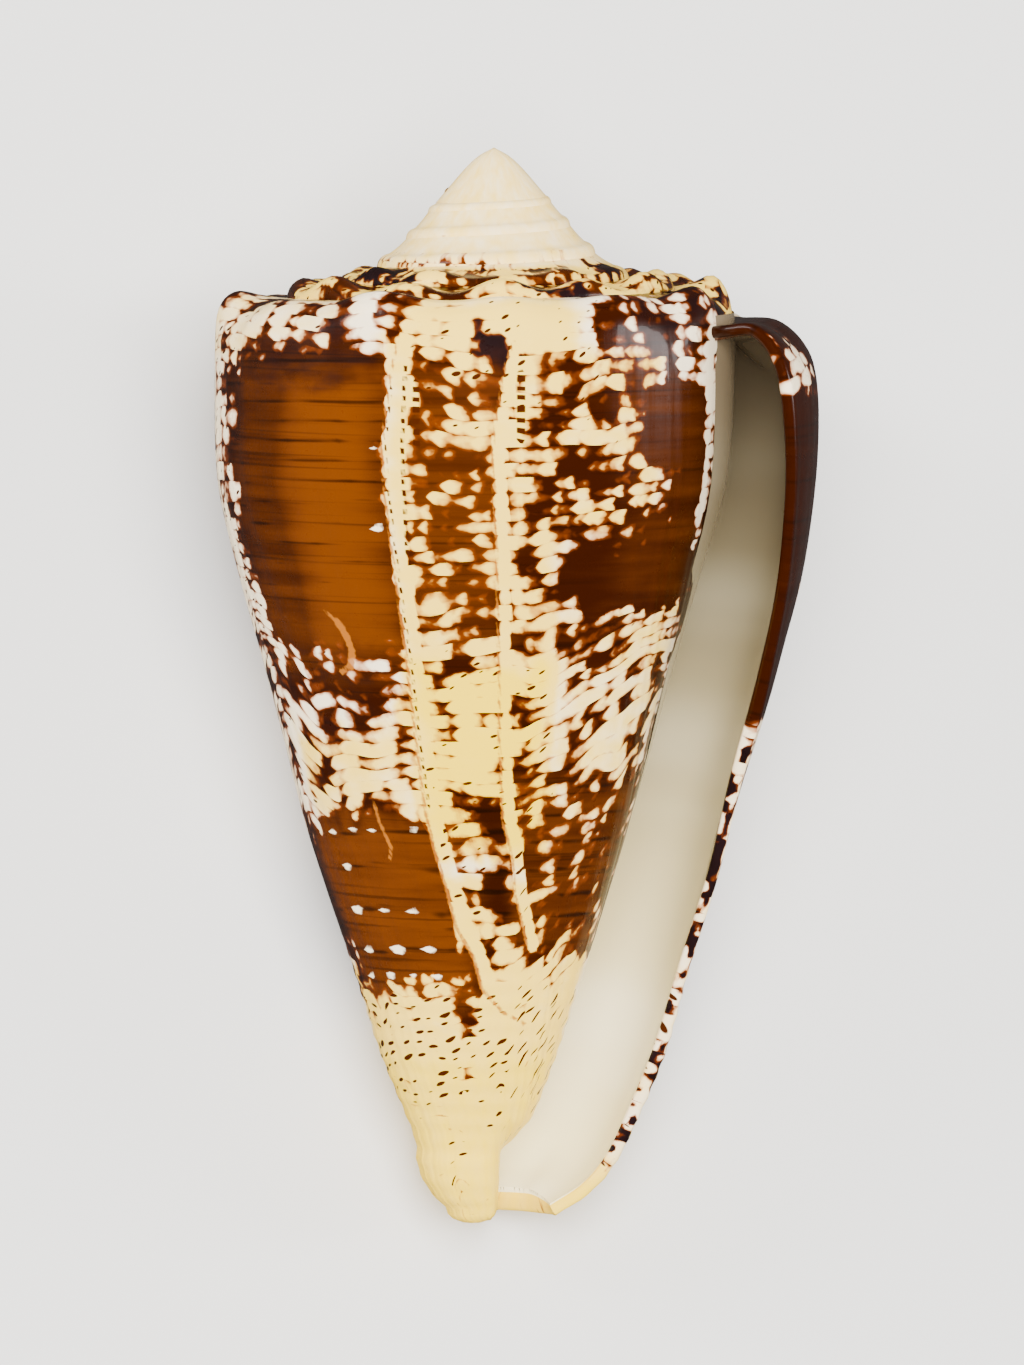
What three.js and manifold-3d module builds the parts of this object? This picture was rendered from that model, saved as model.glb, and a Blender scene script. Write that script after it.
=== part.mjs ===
// A cone shell: one wall of shell that a sea snail coiled round an axis as it grew. It has a low stepped spire
// with a sharp central cone, a knobbed shoulder, straight tapering sides, a short neck at the narrow end, and a long
// narrow aperture under a thin outer lip. It grew as one piece, so it is one mesh.
//
// Sizes are in millimetres. The shell is drawn in its growth frame, with the coiling axis along Z and the tip of the
// spire at depth 0; depth runs down the axis to the narrow end. "back" is the angle, in radians, that the growing
// edge still had to turn before it became the finished lip: 0 at the lip, one full turn a whorl earlier. "row" is a
// place along the outline of a whorl, from its suture, over the shoulder, to the narrow end.

import * as THREE from "three";
import { mergeVertices } from "three/addons/utils/BufferGeometryUtils.js";
import Module from "manifold-3d";

const TURN = 2 * Math.PI;

// The outline of the last whorl as [radius, depth] at three stages of growth
const OUTLINE = [
  { name: "suture", whorlBack: [11.1, 8.9], halfBack: [13.1, 9.1], lip: [14.8, 10.7] },
  { name: "channel", whorlBack: [12.2, 8.75], halfBack: [14.4, 9.2], lip: [16.0, 10.6] },
  { name: "crest", whorlBack: [13.4, 8.6], halfBack: [15.7, 9.3], lip: [17.4, 10.9] },
  { name: "corner", whorlBack: [14.4, 9.5], halfBack: [16.8, 10.2], lip: [18.9, 12.2] },
  { name: "landing", whorlBack: [14.8, 10.7], halfBack: [17.3, 11.8], lip: [19.8, 13.9] },
  { name: "widest", whorlBack: [14.9, 14.0], halfBack: [17.4, 15.5], lip: [20.1, 17.0] },
  { name: "upper side", whorlBack: [14.3, 20.5], halfBack: [17.1, 20.5], lip: [19.9, 21.0] },
  { name: "side", whorlBack: [12.7, 26.0], halfBack: [15.9, 26.0], lip: [19.0, 26.5] },
  { name: "middle", whorlBack: [10.9, 32.0], halfBack: [14.2, 32.0], lip: [17.4, 32.0] },
  { name: "lower middle", whorlBack: [9.2, 38.0], halfBack: [12.5, 38.0], lip: [15.4, 38.0] },
  { name: "lower side", whorlBack: [7.3, 44.0], halfBack: [10.6, 44.0], lip: [13.8, 44.0] },
  { name: "waist", whorlBack: [5.4, 50.0], halfBack: [8.5, 50.0], lip: [11.9, 50.0] },
  { name: "neck start", whorlBack: [3.6, 55.2], halfBack: [6.8, 55.2], lip: [10.3, 55.2] },
  { name: "neck groove", whorlBack: [1.7, 60.0], halfBack: [4.75, 60.2], lip: [8.3, 60.0] },
  { name: "neck", whorlBack: [1.0, 61.8], halfBack: [4.55, 62.0], lip: [7.2, 62.1] },
  { name: "neck end", whorlBack: [0.7, 63.2], halfBack: [3.9, 63.5], lip: [5.8, 63.7] },
  { name: "rim", whorlBack: [0.5, 64.2], halfBack: [2.9, 64.6], lip: [3.8, 65.0] },
];
const CREST = 2;
const LANDING = 4;
const RIM = OUTLINE.length - 1;
const OUTSIDE_ROWS = OUTLINE.map((_, i) => i);

// The spire: how fast its whorls widen, how many show, and how deep a crest lies at each crest radius
const WHORL_RATIO = 1.33;
const SPIRE_TURNS = 5;
const SPIRE_PROFILE = [
  [0, 0],
  [1.1, 0.65],
  [3.4, 3.2],
  [5.6, 5.75],
  [7.3, 7.1],
  [10.2, 7.75],
  [13.4, 8.6],
  [14.9, 8.95],
];
// How far the suture lies under that profile, at each crest radius
const SUTURE_STEPS = [
  [0, 0.02],
  [5.5, 0.12],
  [7.5, 0.5],
  [11.8, 0.85],
  [13.4, 1.77],
];
const LANDING_TO_CREST = 14.8 / 13.4;

// Knobs along the shoulder
const KNOBS_PER_WHORL = 12;
const KNOB_HEIGHT = 0.3;
const KNOB_ROWS = 2.4; // how many rows a knob spreads over

// The back of the last whorl is a little flattened, and the shell rests there on a worn spot
const FLAT_DEPTH = 0.6;
const FLAT_CENTRE = 1.95;
const FLAT_WIDTH = 0.5;
const WORN_DEPTH = 0.22;

// Where the lip stands round the axis, in degrees, at each depth
const LIP_LINE = [
  [10, -28],
  [27, -21],
  [36, -14],
  [44, -6],
  [52, -1],
  [65, 0],
];

// The wall, the cavity under it and the columella at its centre
const LIP_THICKNESS = 0.7;
const WALL_THICKNESS = 1.5;
const INNER_WALL_THICKNESS = 0.45; // the animal thins the walls deep inside
const LIP_BEVEL = 0.8; // radians from the lip to the full wall thickness
const PARIETAL_SKIN = 0.2; // shell laid over the older whorl inside the aperture
const COLUMELLA_RADIUS = 1.6;
const CAVITY_START = -0.15;
const CAVITY_END = 15.7;
const CAVITY_TAPER = 0.5; // radians over which the cavity closes at its end
const FLOOR_OVERSHOOT = 2; // depth that one row past the rim stands for

// The lowest row of the cavity at each back angle; past the rim it is open
const CAVITY_FLOOR = [
  [CAVITY_START, RIM + 1],
  [1.62, RIM + 1],
  [1.9, 14.3],
  [3.2, 12.8],
  [6.3, 11.6],
  [CAVITY_END, 9.5],
];

// Points of the cavity's outline: three under the shoulder, then the outer and the inner side
const ROOF_ROWS = [1.2, CREST, CREST + 0.7];
const OUTER_SIDE = { firstRow: LANDING - 0.5, points: 12 };
const INNER_SIDE = { firstRow: LANDING + 0.6, points: 11 };

// The facet of the wall that turns to face straight down, by its column and row
const REST_COLUMN = 16;
const REST_ROW = 7;

// Facets
const COLUMNS_PER_TURN = 48;
const SPIRE_COLUMNS = COLUMNS_PER_TURN * SPIRE_TURNS;
const CAVITY_COLUMNS = 88;

/** Smooth curve through a few [x, y] points, read at x. */
function readCurve(points, x) {
  const last = points.length - 1;
  if (x <= points[0][0]) return points[0][1];
  if (x >= points[last][0]) return points[last][1];
  const i = points.findIndex((point) => point[0] > x) - 1;
  const slopeFrom = (k) => (points[k + 1][1] - points[k][1]) / (points[k + 1][0] - points[k][0]);
  const slope = slopeFrom(i);
  const slopeBefore = i > 0 ? (slopeFrom(i - 1) + slope) / 2 : slope;
  const slopeAfter = i + 1 < last ? (slopeFrom(i + 1) + slope) / 2 : slope;
  const width = points[i + 1][0] - points[i][0];
  const t = (x - points[i][0]) / width;
  return (
    points[i][1] * (2 * t ** 3 - 3 * t ** 2 + 1) +
    points[i + 1][1] * (3 * t ** 2 - 2 * t ** 3) +
    slopeBefore * width * (t ** 3 - 2 * t ** 2 + t) +
    slopeAfter * width * (t ** 3 - t ** 2)
  );
}

/** A reader that gives [radius, depth] at a row of one growth stage. */
function stageReader(stage) {
  const radii = OUTLINE.map((row, i) => [i, row[stage][0]]);
  const depths = OUTLINE.map((row, i) => [i, row[stage][1]]);
  return (row) => [readCurve(radii, row), readCurve(depths, row)];
}
const whorlBackAt = stageReader("whorlBack");
const halfBackAt = stageReader("halfBack");
const lipAt = stageReader("lip");

/** How much a knob lifts the shell at an angle and row, for a whorl of a given size. */
function knobLift(back, row, size) {
  const near = Math.max(0, 1 - Math.abs(row - CREST - 0.5) / KNOB_ROWS);
  return KNOB_HEIGHT * size ** 2 * near * Math.cos(KNOBS_PER_WHORL * back);
}

/** Share by which the flattened back draws the wall in at an angle. */
function flattening(back) {
  return (FLAT_DEPTH / OUTLINE[CREST].lip[0]) * Math.exp(-(((back - FLAT_CENTRE) / FLAT_WIDTH) ** 2));
}

/** [radius, depth] on the last whorl: a parabola in "back" through the three stages. */
function lastWhorl(back, row) {
  const t = THREE.MathUtils.clamp(back / TURN, 0, 1);
  const weights = [(1 - t) * (1 - 2 * t), 4 * t * (1 - t), t * (2 * t - 1)];
  const stages = [lipAt(row), halfBackAt(row), whorlBackAt(row)];
  const mix = (k) => weights.reduce((sum, weight, i) => sum + weight * stages[i][k], 0);
  const lift = knobLift(back, row, 1);
  const radius = mix(0) * (1 - flattening(back)) + lift / 2;
  return [radius, mix(1) - lift];
}

/** [radius, depth] where the next whorl rests on this one. */
function landing(back) {
  if (back <= TURN) return lastWhorl(back, LANDING);
  const crest = OUTLINE[CREST].whorlBack[0] * WHORL_RATIO ** (1 - back / TURN);
  const radius = crest * LANDING_TO_CREST;
  return [radius, readCurve(SPIRE_PROFILE, radius) + readCurve(SUTURE_STEPS, crest)];
}

/** [radius, depth] on a whorl of the spire, between its suture and its landing. */
function spireWhorl(back, row) {
  const size = WHORL_RATIO ** (1 - back / TURN);
  const crestRadius = OUTLINE[CREST].whorlBack[0] * size;
  const crest = [crestRadius, readCurve(SPIRE_PROFILE, crestRadius) - knobLift(back, CREST, size)];
  if (row <= CREST) return mixPoints(landing(back + TURN), crest, row / CREST);
  const down = (row - CREST) / (LANDING - CREST);
  const [outerRadius, outerDepth] = landing(back);
  return [
    crest[0] + (outerRadius - crest[0]) * Math.sin((down * Math.PI) / 2),
    crest[1] + (outerDepth - crest[1]) * (1 - Math.cos((down * Math.PI) / 2)),
  ];
}

/** The point a share of the way from one [radius, depth] to another. */
function mixPoints(from, to, share) {
  return [THREE.MathUtils.lerp(from[0], to[0], share), THREE.MathUtils.lerp(from[1], to[1], share)];
}

/** [radius, depth] of the outer face of the shell wall; the sides of old whorls lie inside the shell. */
function wallFace(back, row) {
  if (row === 0) return landing(back + TURN);
  if (back <= TURN) return lastWhorl(back, row);
  if (row <= LANDING) return spireWhorl(back, row);
  const [radius, depth] = whorlBackAt(row);
  const core = Math.min(radius, COLUMELLA_RADIUS);
  return [core + (radius - core) * WHORL_RATIO ** (1 - back / TURN), depth];
}

/** A point in the growth frame. */
function place([radius, depth], back) {
  const angle = THREE.MathUtils.degToRad(readCurve(LIP_LINE, depth)) + back;
  return [radius * Math.cos(angle), radius * Math.sin(angle), -depth];
}

/** Collects points and triangles of one closed body. */
class Surface {
  points = [];
  triangles = [];

  add(point) {
    return this.points.push(point) - 1;
  }

  /** Adds a triangle, unless two of its corners are one point. */
  triangle(a, b, c) {
    if (a !== b && b !== c && c !== a) this.triangles.push([a, b, c]);
  }

  /** Joins two lists of point numbers of the same length with a strip of triangles. */
  strip(from, to) {
    for (let i = 0; i + 1 < from.length; i++) {
      this.triangle(from[i], from[i + 1], to[i]);
      this.triangle(from[i + 1], to[i + 1], to[i]);
    }
  }

  /** Joins a list of point numbers to one point. */
  fan(centre, ring) {
    for (let i = 0; i + 1 < ring.length; i++) this.triangle(centre, ring[i], ring[i + 1]);
  }

  geometry() {
    const geometry = new THREE.BufferGeometry();
    geometry.setAttribute("position", new THREE.Float32BufferAttribute(this.points.flat(), 3));
    geometry.setIndex(this.triangles.flat());
    return geometry;
  }
}

/** The shell as a filled body: every whorl's outside, the flat face at the aperture and the narrow end. */
function filledShell() {
  const surface = new Surface();
  const columns = [];
  for (let i = 0; i <= SPIRE_COLUMNS + COLUMNS_PER_TURN; i++) {
    const back = (i / COLUMNS_PER_TURN) * TURN;
    const rows = i <= COLUMNS_PER_TURN ? OUTSIDE_ROWS : OUTSIDE_ROWS.slice(0, LANDING + 1);
    columns.push(rows.map((row) => (row === 0 ? null : surface.add(place(wallFace(back, row), back)))));
  }
  const tip = surface.add([0, 0, 0]);
  columns.forEach((column, i) => {
    const inner = columns[i + COLUMNS_PER_TURN];
    column[0] = inner ? inner[LANDING] : tip;
  });
  for (let i = 0; i + 1 < columns.length; i++) {
    const rows = columns[i + 1].length;
    surface.strip(columns[i].slice(0, rows), columns[i + 1]);
  }
  surface.fan(tip, columns.at(-1));

  const lip = columns[0];
  const older = columns[COLUMNS_PER_TURN];
  surface.fan(older[LANDING], lip.slice(0, LANDING + 1).reverse());
  surface.strip(older.slice(LANDING), lip.slice(LANDING));
  const rim = columns.slice(0, COLUMNS_PER_TURN + 1).map((column) => column[RIM]);
  const end = surface.add([0, 0, -OUTLINE[RIM].lip[1]]);
  surface.fan(end, rim.reverse());
  surface.fan(end, [rim.at(-1), rim[0]]);
  return surface.geometry();
}

/** Wall thickness at an angle. */
function thickness(back) {
  const full = THREE.MathUtils.lerp(
    WALL_THICKNESS,
    INNER_WALL_THICKNESS,
    THREE.MathUtils.smoothstep(back, Math.PI, TURN),
  );
  return THREE.MathUtils.lerp(LIP_THICKNESS, full, THREE.MathUtils.smoothstep(back, 0, LIP_BEVEL));
}

/** [radius, depth] of the cavity's outer side: the wall face moved inwards by the wall's thickness. */
function cavityOuter(back, row) {
  const capped = Math.min(row, RIM);
  const before = wallFace(back, Math.max(1, capped - 0.5));
  const after = wallFace(back, Math.min(RIM, capped + 0.5));
  const run = new THREE.Vector2(after[0] - before[0], after[1] - before[1]).normalize();
  const [radius, depth] = wallFace(back, capped);
  const wall = thickness(back);
  return [radius - run.y * wall, depth + run.x * wall + (row - capped) * FLOOR_OVERSHOOT];
}

/** [radius, depth] of the cavity's inner side: the older whorl with a thin skin on it. */
function cavityInner(back, row) {
  const capped = Math.min(row, RIM);
  const [radius, depth] = wallFace(back + TURN, capped);
  return [radius + PARIETAL_SKIN, depth + (row - capped) * FLOOR_OVERSHOOT];
}

/** The outline of the cavity at an angle, as [radius, depth] points in a ring. */
function cavityOutline(back) {
  const grown = Math.max(back, 0);
  const floor = readCurve(CAVITY_FLOOR, back);
  const rowsOf = ({ firstRow, points }) =>
    Array.from({ length: points }, (_, i) => THREE.MathUtils.lerp(firstRow, floor, i / (points - 1)));
  const roof = ROOF_ROWS.map((row) => cavityOuter(grown, row));
  const outer = rowsOf(OUTER_SIDE).map((row) => cavityOuter(grown, row));
  const inner = rowsOf(INNER_SIDE).map((row) => cavityInner(grown, row));
  return [...roof, ...outer, ...inner.reverse()];
}

/** The cavity as a closed body that winds in from the aperture. */
function cavity() {
  const surface = new Surface();
  const rings = [];
  const outerMiddle = ROOF_ROWS.length + OUTER_SIDE.points / 2 - 1;
  const innerMiddle = -Math.ceil(INNER_SIDE.points / 2);
  for (let i = 0; i <= CAVITY_COLUMNS; i++) {
    const back = THREE.MathUtils.lerp(CAVITY_START, CAVITY_END, i / CAVITY_COLUMNS);
    const outline = cavityOutline(back);
    const middle = mixPoints(outline[outerMiddle], outline.at(innerMiddle), 0.5);
    const closing = THREE.MathUtils.clamp((back - CAVITY_END) / CAVITY_TAPER + 1, 0, 0.95);
    const narrowed = outline.map((point) => mixPoints(middle, point, Math.sqrt(1 - closing ** 2)));
    const ring = narrowed.map((point) => surface.add(place(point, back)));
    rings.push([...ring, ring[0]]);
  }
  for (let i = 0; i + 1 < rings.length; i++) surface.strip(rings[i], rings[i + 1]);
  const centreOf = (ring) => {
    const centre = new THREE.Vector3();
    ring.slice(1).forEach((k) => centre.add(new THREE.Vector3(...surface.points[k])));
    return surface.add(centre.divideScalar(ring.length - 1).toArray());
  };
  const first = rings[0];
  const last = rings.at(-1);
  surface.fan(centreOf(first), [...first].reverse());
  surface.fan(centreOf(last), last);
  return surface.geometry();
}

/** The turn from the growth frame that makes the resting facet look down and the spire point towards +Y. */
function restingTurn() {
  const corner = (column, row) => {
    const back = (column / COLUMNS_PER_TURN) * TURN;
    return new THREE.Vector3(...place(wallFace(back, row), back));
  };
  const facet = new THREE.Triangle(
    corner(REST_COLUMN, REST_ROW),
    corner(REST_COLUMN, REST_ROW + 1),
    corner(REST_COLUMN + 1, REST_ROW),
  );
  const down = facet.getNormal(new THREE.Vector3());
  const roll = new THREE.Matrix4().makeRotationZ(Math.PI / 2 - Math.atan2(down.y, down.x));
  const lean = new THREE.Matrix4().makeRotationX(-Math.PI / 2 - Math.asin(down.z));
  return lean.multiply(roll);
}

/** The ground that wears the back flat: a block whose top is a little above a geometry's lowest point. */
function wearingBlock(geometry) {
  geometry.computeBoundingBox();
  const size = geometry.boundingBox.getSize(new THREE.Vector3()).multiplyScalar(2);
  const block = new THREE.BoxGeometry(size.x, size.y, size.z);
  block.deleteAttribute("normal");
  block.deleteAttribute("uv");
  return block.translate(0, 0, geometry.boundingBox.min.z + WORN_DEPTH - size.z / 2);
}

/** Moves a geometry so that the origin is under the middle of its box, on the surface it rests on. */
function standOnOrigin(geometry) {
  geometry.computeBoundingBox();
  const { min, max } = geometry.boundingBox;
  geometry.translate(-(min.x + max.x) / 2, -(min.y + max.y) / 2, -min.z);
}

/** A body for the solid library from a closed geometry. */
function toSolid(wasm, geometry) {
  const merged = mergeVertices(geometry);
  const mesh = new wasm.Mesh({
    numProp: 3,
    vertProperties: merged.attributes.position.array,
    triVerts: new Uint32Array(merged.index.array),
  });
  return new wasm.Manifold(mesh);
}

/** A three.js geometry from a solid. */
function toGeometry(solid) {
  const mesh = solid.getMesh();
  const geometry = new THREE.BufferGeometry();
  geometry.setAttribute("position", new THREE.BufferAttribute(mesh.vertProperties, 3));
  geometry.setIndex(new THREE.BufferAttribute(mesh.triVerts, 1));
  return geometry;
}

const wasm = await Module();
wasm.setup();

const turn = restingTurn();
const outside = filledShell().applyMatrix4(turn);
const hollowed = toSolid(wasm, outside).subtract(toSolid(wasm, cavity().applyMatrix4(turn)));
const worn = hollowed.subtract(toSolid(wasm, wearingBlock(outside)));
const shellGeometry = toGeometry(worn);
standOnOrigin(shellGeometry);

const shellMaterial = new THREE.MeshStandardMaterial({ color: 0x9c6a3c, roughness: 0.35, metalness: 0 });
const shell = new THREE.Mesh(shellGeometry, shellMaterial);
shell.name = "shell";

const group = new THREE.Group();
group.name = "cone_shell";
group.add(shell);

export default group;
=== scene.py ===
"""Looks for a cone seashell that lies on its back: its form, its pattern, a plain floor, soft light and a camera.

The shell is drawn in its growth frame, in millimetres: the coiling axis is Z, the tip of the spire is at depth 0
and depth runs down the axis. "back" is the angle, in radians, that the growing edge still had to turn before it
became the finished lip. "angle" is the place round the axis in degrees, counted on through the last whorl from the
lip. "row" is a place on the outline of a whorl, from its suture at 0 to the rim at the narrow end.
"""

import logging
import math
from dataclasses import dataclass, field
from enum import Enum

import bpy
import numpy as np
from mathutils import Matrix, Vector


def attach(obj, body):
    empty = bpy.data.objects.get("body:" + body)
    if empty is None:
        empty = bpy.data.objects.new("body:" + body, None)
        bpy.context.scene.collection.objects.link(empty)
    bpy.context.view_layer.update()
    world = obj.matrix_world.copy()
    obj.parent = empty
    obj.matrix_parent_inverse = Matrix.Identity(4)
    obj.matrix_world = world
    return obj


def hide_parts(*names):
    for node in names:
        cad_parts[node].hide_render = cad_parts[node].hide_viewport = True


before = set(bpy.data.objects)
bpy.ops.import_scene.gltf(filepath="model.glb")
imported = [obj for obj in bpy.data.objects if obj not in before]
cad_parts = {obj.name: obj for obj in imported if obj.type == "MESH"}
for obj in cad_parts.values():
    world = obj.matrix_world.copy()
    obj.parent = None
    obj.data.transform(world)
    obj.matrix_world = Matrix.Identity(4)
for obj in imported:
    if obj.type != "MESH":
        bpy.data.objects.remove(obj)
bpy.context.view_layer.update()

LOG = logging.getLogger("cone_shell")
TURN = 2 * math.pi
MM = 0.001
MEAN_RADIUS = 14.0
# Depth and radius in mm near the two ends of the last whorl's side
TOP_AND_FOOT = ((17.0, 18.0), (62.0, 3.6))
RGBA = {"output": 2, "data_type": "RGBA"}
SMOOTH = {"interpolation_type": "SMOOTHSTEP"}
Array = np.ndarray
Socket = bpy.types.NodeSocket


def smoothstep(x: Array) -> Array:
    """Eases 0..1 to 0..1, and holds it outside."""
    t = np.clip(x, 0, 1)
    return t * t * (3 - 2 * t)


def mix(a: Array, b: Array, share: Array) -> Array:
    """Goes from a to b as share goes from 0 to 1."""
    return a + (b - a) * share


def linear(code: str) -> tuple[float, float, float, float]:
    """Turns an sRGB hex colour into linear red, green, blue and alpha.

    Args:
        code: six hex digits.

    Returns:
        The colour that a shader socket takes.
    """
    channels = [int(code[i : i + 2], 16) / 255 for i in (0, 2, 4)]
    lifted = [c / 12.92 if c <= 0.04045 else ((c + 0.055) / 1.055) ** 2.4 for c in channels]
    return (*lifted, 1.0)


class Curve:
    """A smooth curve through a few points, read at any x."""

    def __init__(self, points: list[tuple[float, float]]) -> None:
        """Works out the slope at each point as the mean of the slopes beside it.

        Args:
            points: (x, y) pairs in order of x.
        """
        self.x, self.y = np.array(points, float).T
        slopes = np.diff(self.y) / np.diff(self.x)
        between = (slopes[:-1] + slopes[1:]) / 2
        self.slopes = np.concatenate([slopes[:1], between, slopes[-1:]])

    def __call__(self, x: Array) -> Array:
        """Reads the curve, which stays level outside its points.

        Args:
            x: where to read it.

        Returns:
            Its values there.
        """
        x = np.clip(x, self.x[0], self.x[-1])
        i = np.clip(np.searchsorted(self.x, x, side="right") - 1, 0, len(self.x) - 2)
        width = self.x[i + 1] - self.x[i]
        t = (x - self.x[i]) / width
        return (
            self.y[i] * (2 * t**3 - 3 * t**2 + 1)
            + self.y[i + 1] * (3 * t**2 - 2 * t**3)
            + self.slopes[i] * width * (t**3 - 2 * t**2 + t)
            + self.slopes[i + 1] * width * (t**3 - t**2)
        )


class LatticeNoise:
    """Smooth seeded noise between -1 and 1 over a flat lattice."""

    SIZE = 128

    def __init__(self, seed: int) -> None:
        """Draws the lattice values from a seed."""
        self.values = np.random.default_rng(seed).uniform(-1, 1, (self.SIZE, self.SIZE))

    def __call__(self, x: Array, y: Array) -> Array:
        """Reads the noise, one lattice cell per unit.

        Args:
            x, y: where to read it, in lattice cells.

        Returns:
            Its values there.
        """
        i = np.floor(x).astype(int)
        j = np.floor(y).astype(int)
        u = smoothstep(x - i)
        v = smoothstep(y - j)
        i0, i1, j0, j1 = i % self.SIZE, (i + 1) % self.SIZE, j % self.SIZE, (j + 1) % self.SIZE
        near = mix(self.values[i0, j0], self.values[i1, j0], u)
        far = mix(self.values[i0, j1], self.values[i1, j1], u)
        return mix(near, far, v)


@dataclass(frozen=True)
class OutlineRow:
    """One place on the outline of the last whorl, as (radius, depth) in mm at three stages of growth."""

    name: str
    whorl_back: tuple[float, float]
    half_back: tuple[float, float]
    lip: tuple[float, float]


OUTLINE = (
    OutlineRow("suture", (11.1, 8.9), (13.1, 9.1), (14.8, 10.7)),
    OutlineRow("channel", (12.2, 8.75), (14.4, 9.2), (16.0, 10.6)),
    OutlineRow("crest", (13.4, 8.6), (15.7, 9.3), (17.4, 10.9)),
    OutlineRow("corner", (14.4, 9.5), (16.8, 10.2), (18.9, 12.2)),
    OutlineRow("landing", (14.8, 10.7), (17.3, 11.8), (19.8, 13.9)),
    OutlineRow("widest", (14.9, 14.0), (17.4, 15.5), (20.1, 17.0)),
    OutlineRow("upper side", (14.3, 20.5), (17.1, 20.5), (19.9, 21.0)),
    OutlineRow("side", (12.7, 26.0), (15.9, 26.0), (19.0, 26.5)),
    OutlineRow("middle", (10.9, 32.0), (14.2, 32.0), (17.4, 32.0)),
    OutlineRow("lower middle", (9.2, 38.0), (12.5, 38.0), (15.4, 38.0)),
    OutlineRow("lower side", (7.3, 44.0), (10.6, 44.0), (13.8, 44.0)),
    OutlineRow("waist", (5.4, 50.0), (8.5, 50.0), (11.9, 50.0)),
    OutlineRow("neck start", (3.6, 55.2), (6.8, 55.2), (10.3, 55.2)),
    OutlineRow("neck groove", (1.7, 60.0), (4.75, 60.2), (8.3, 60.0)),
    OutlineRow("neck", (1.0, 61.8), (4.55, 62.0), (7.2, 62.1)),
    OutlineRow("neck end", (0.7, 63.2), (3.9, 63.5), (5.8, 63.7)),
    OutlineRow("rim", (0.5, 64.2), (2.9, 64.6), (3.8, 65.0)),
)
CREST = 2
LANDING = 4
RIM = len(OUTLINE) - 1


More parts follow.
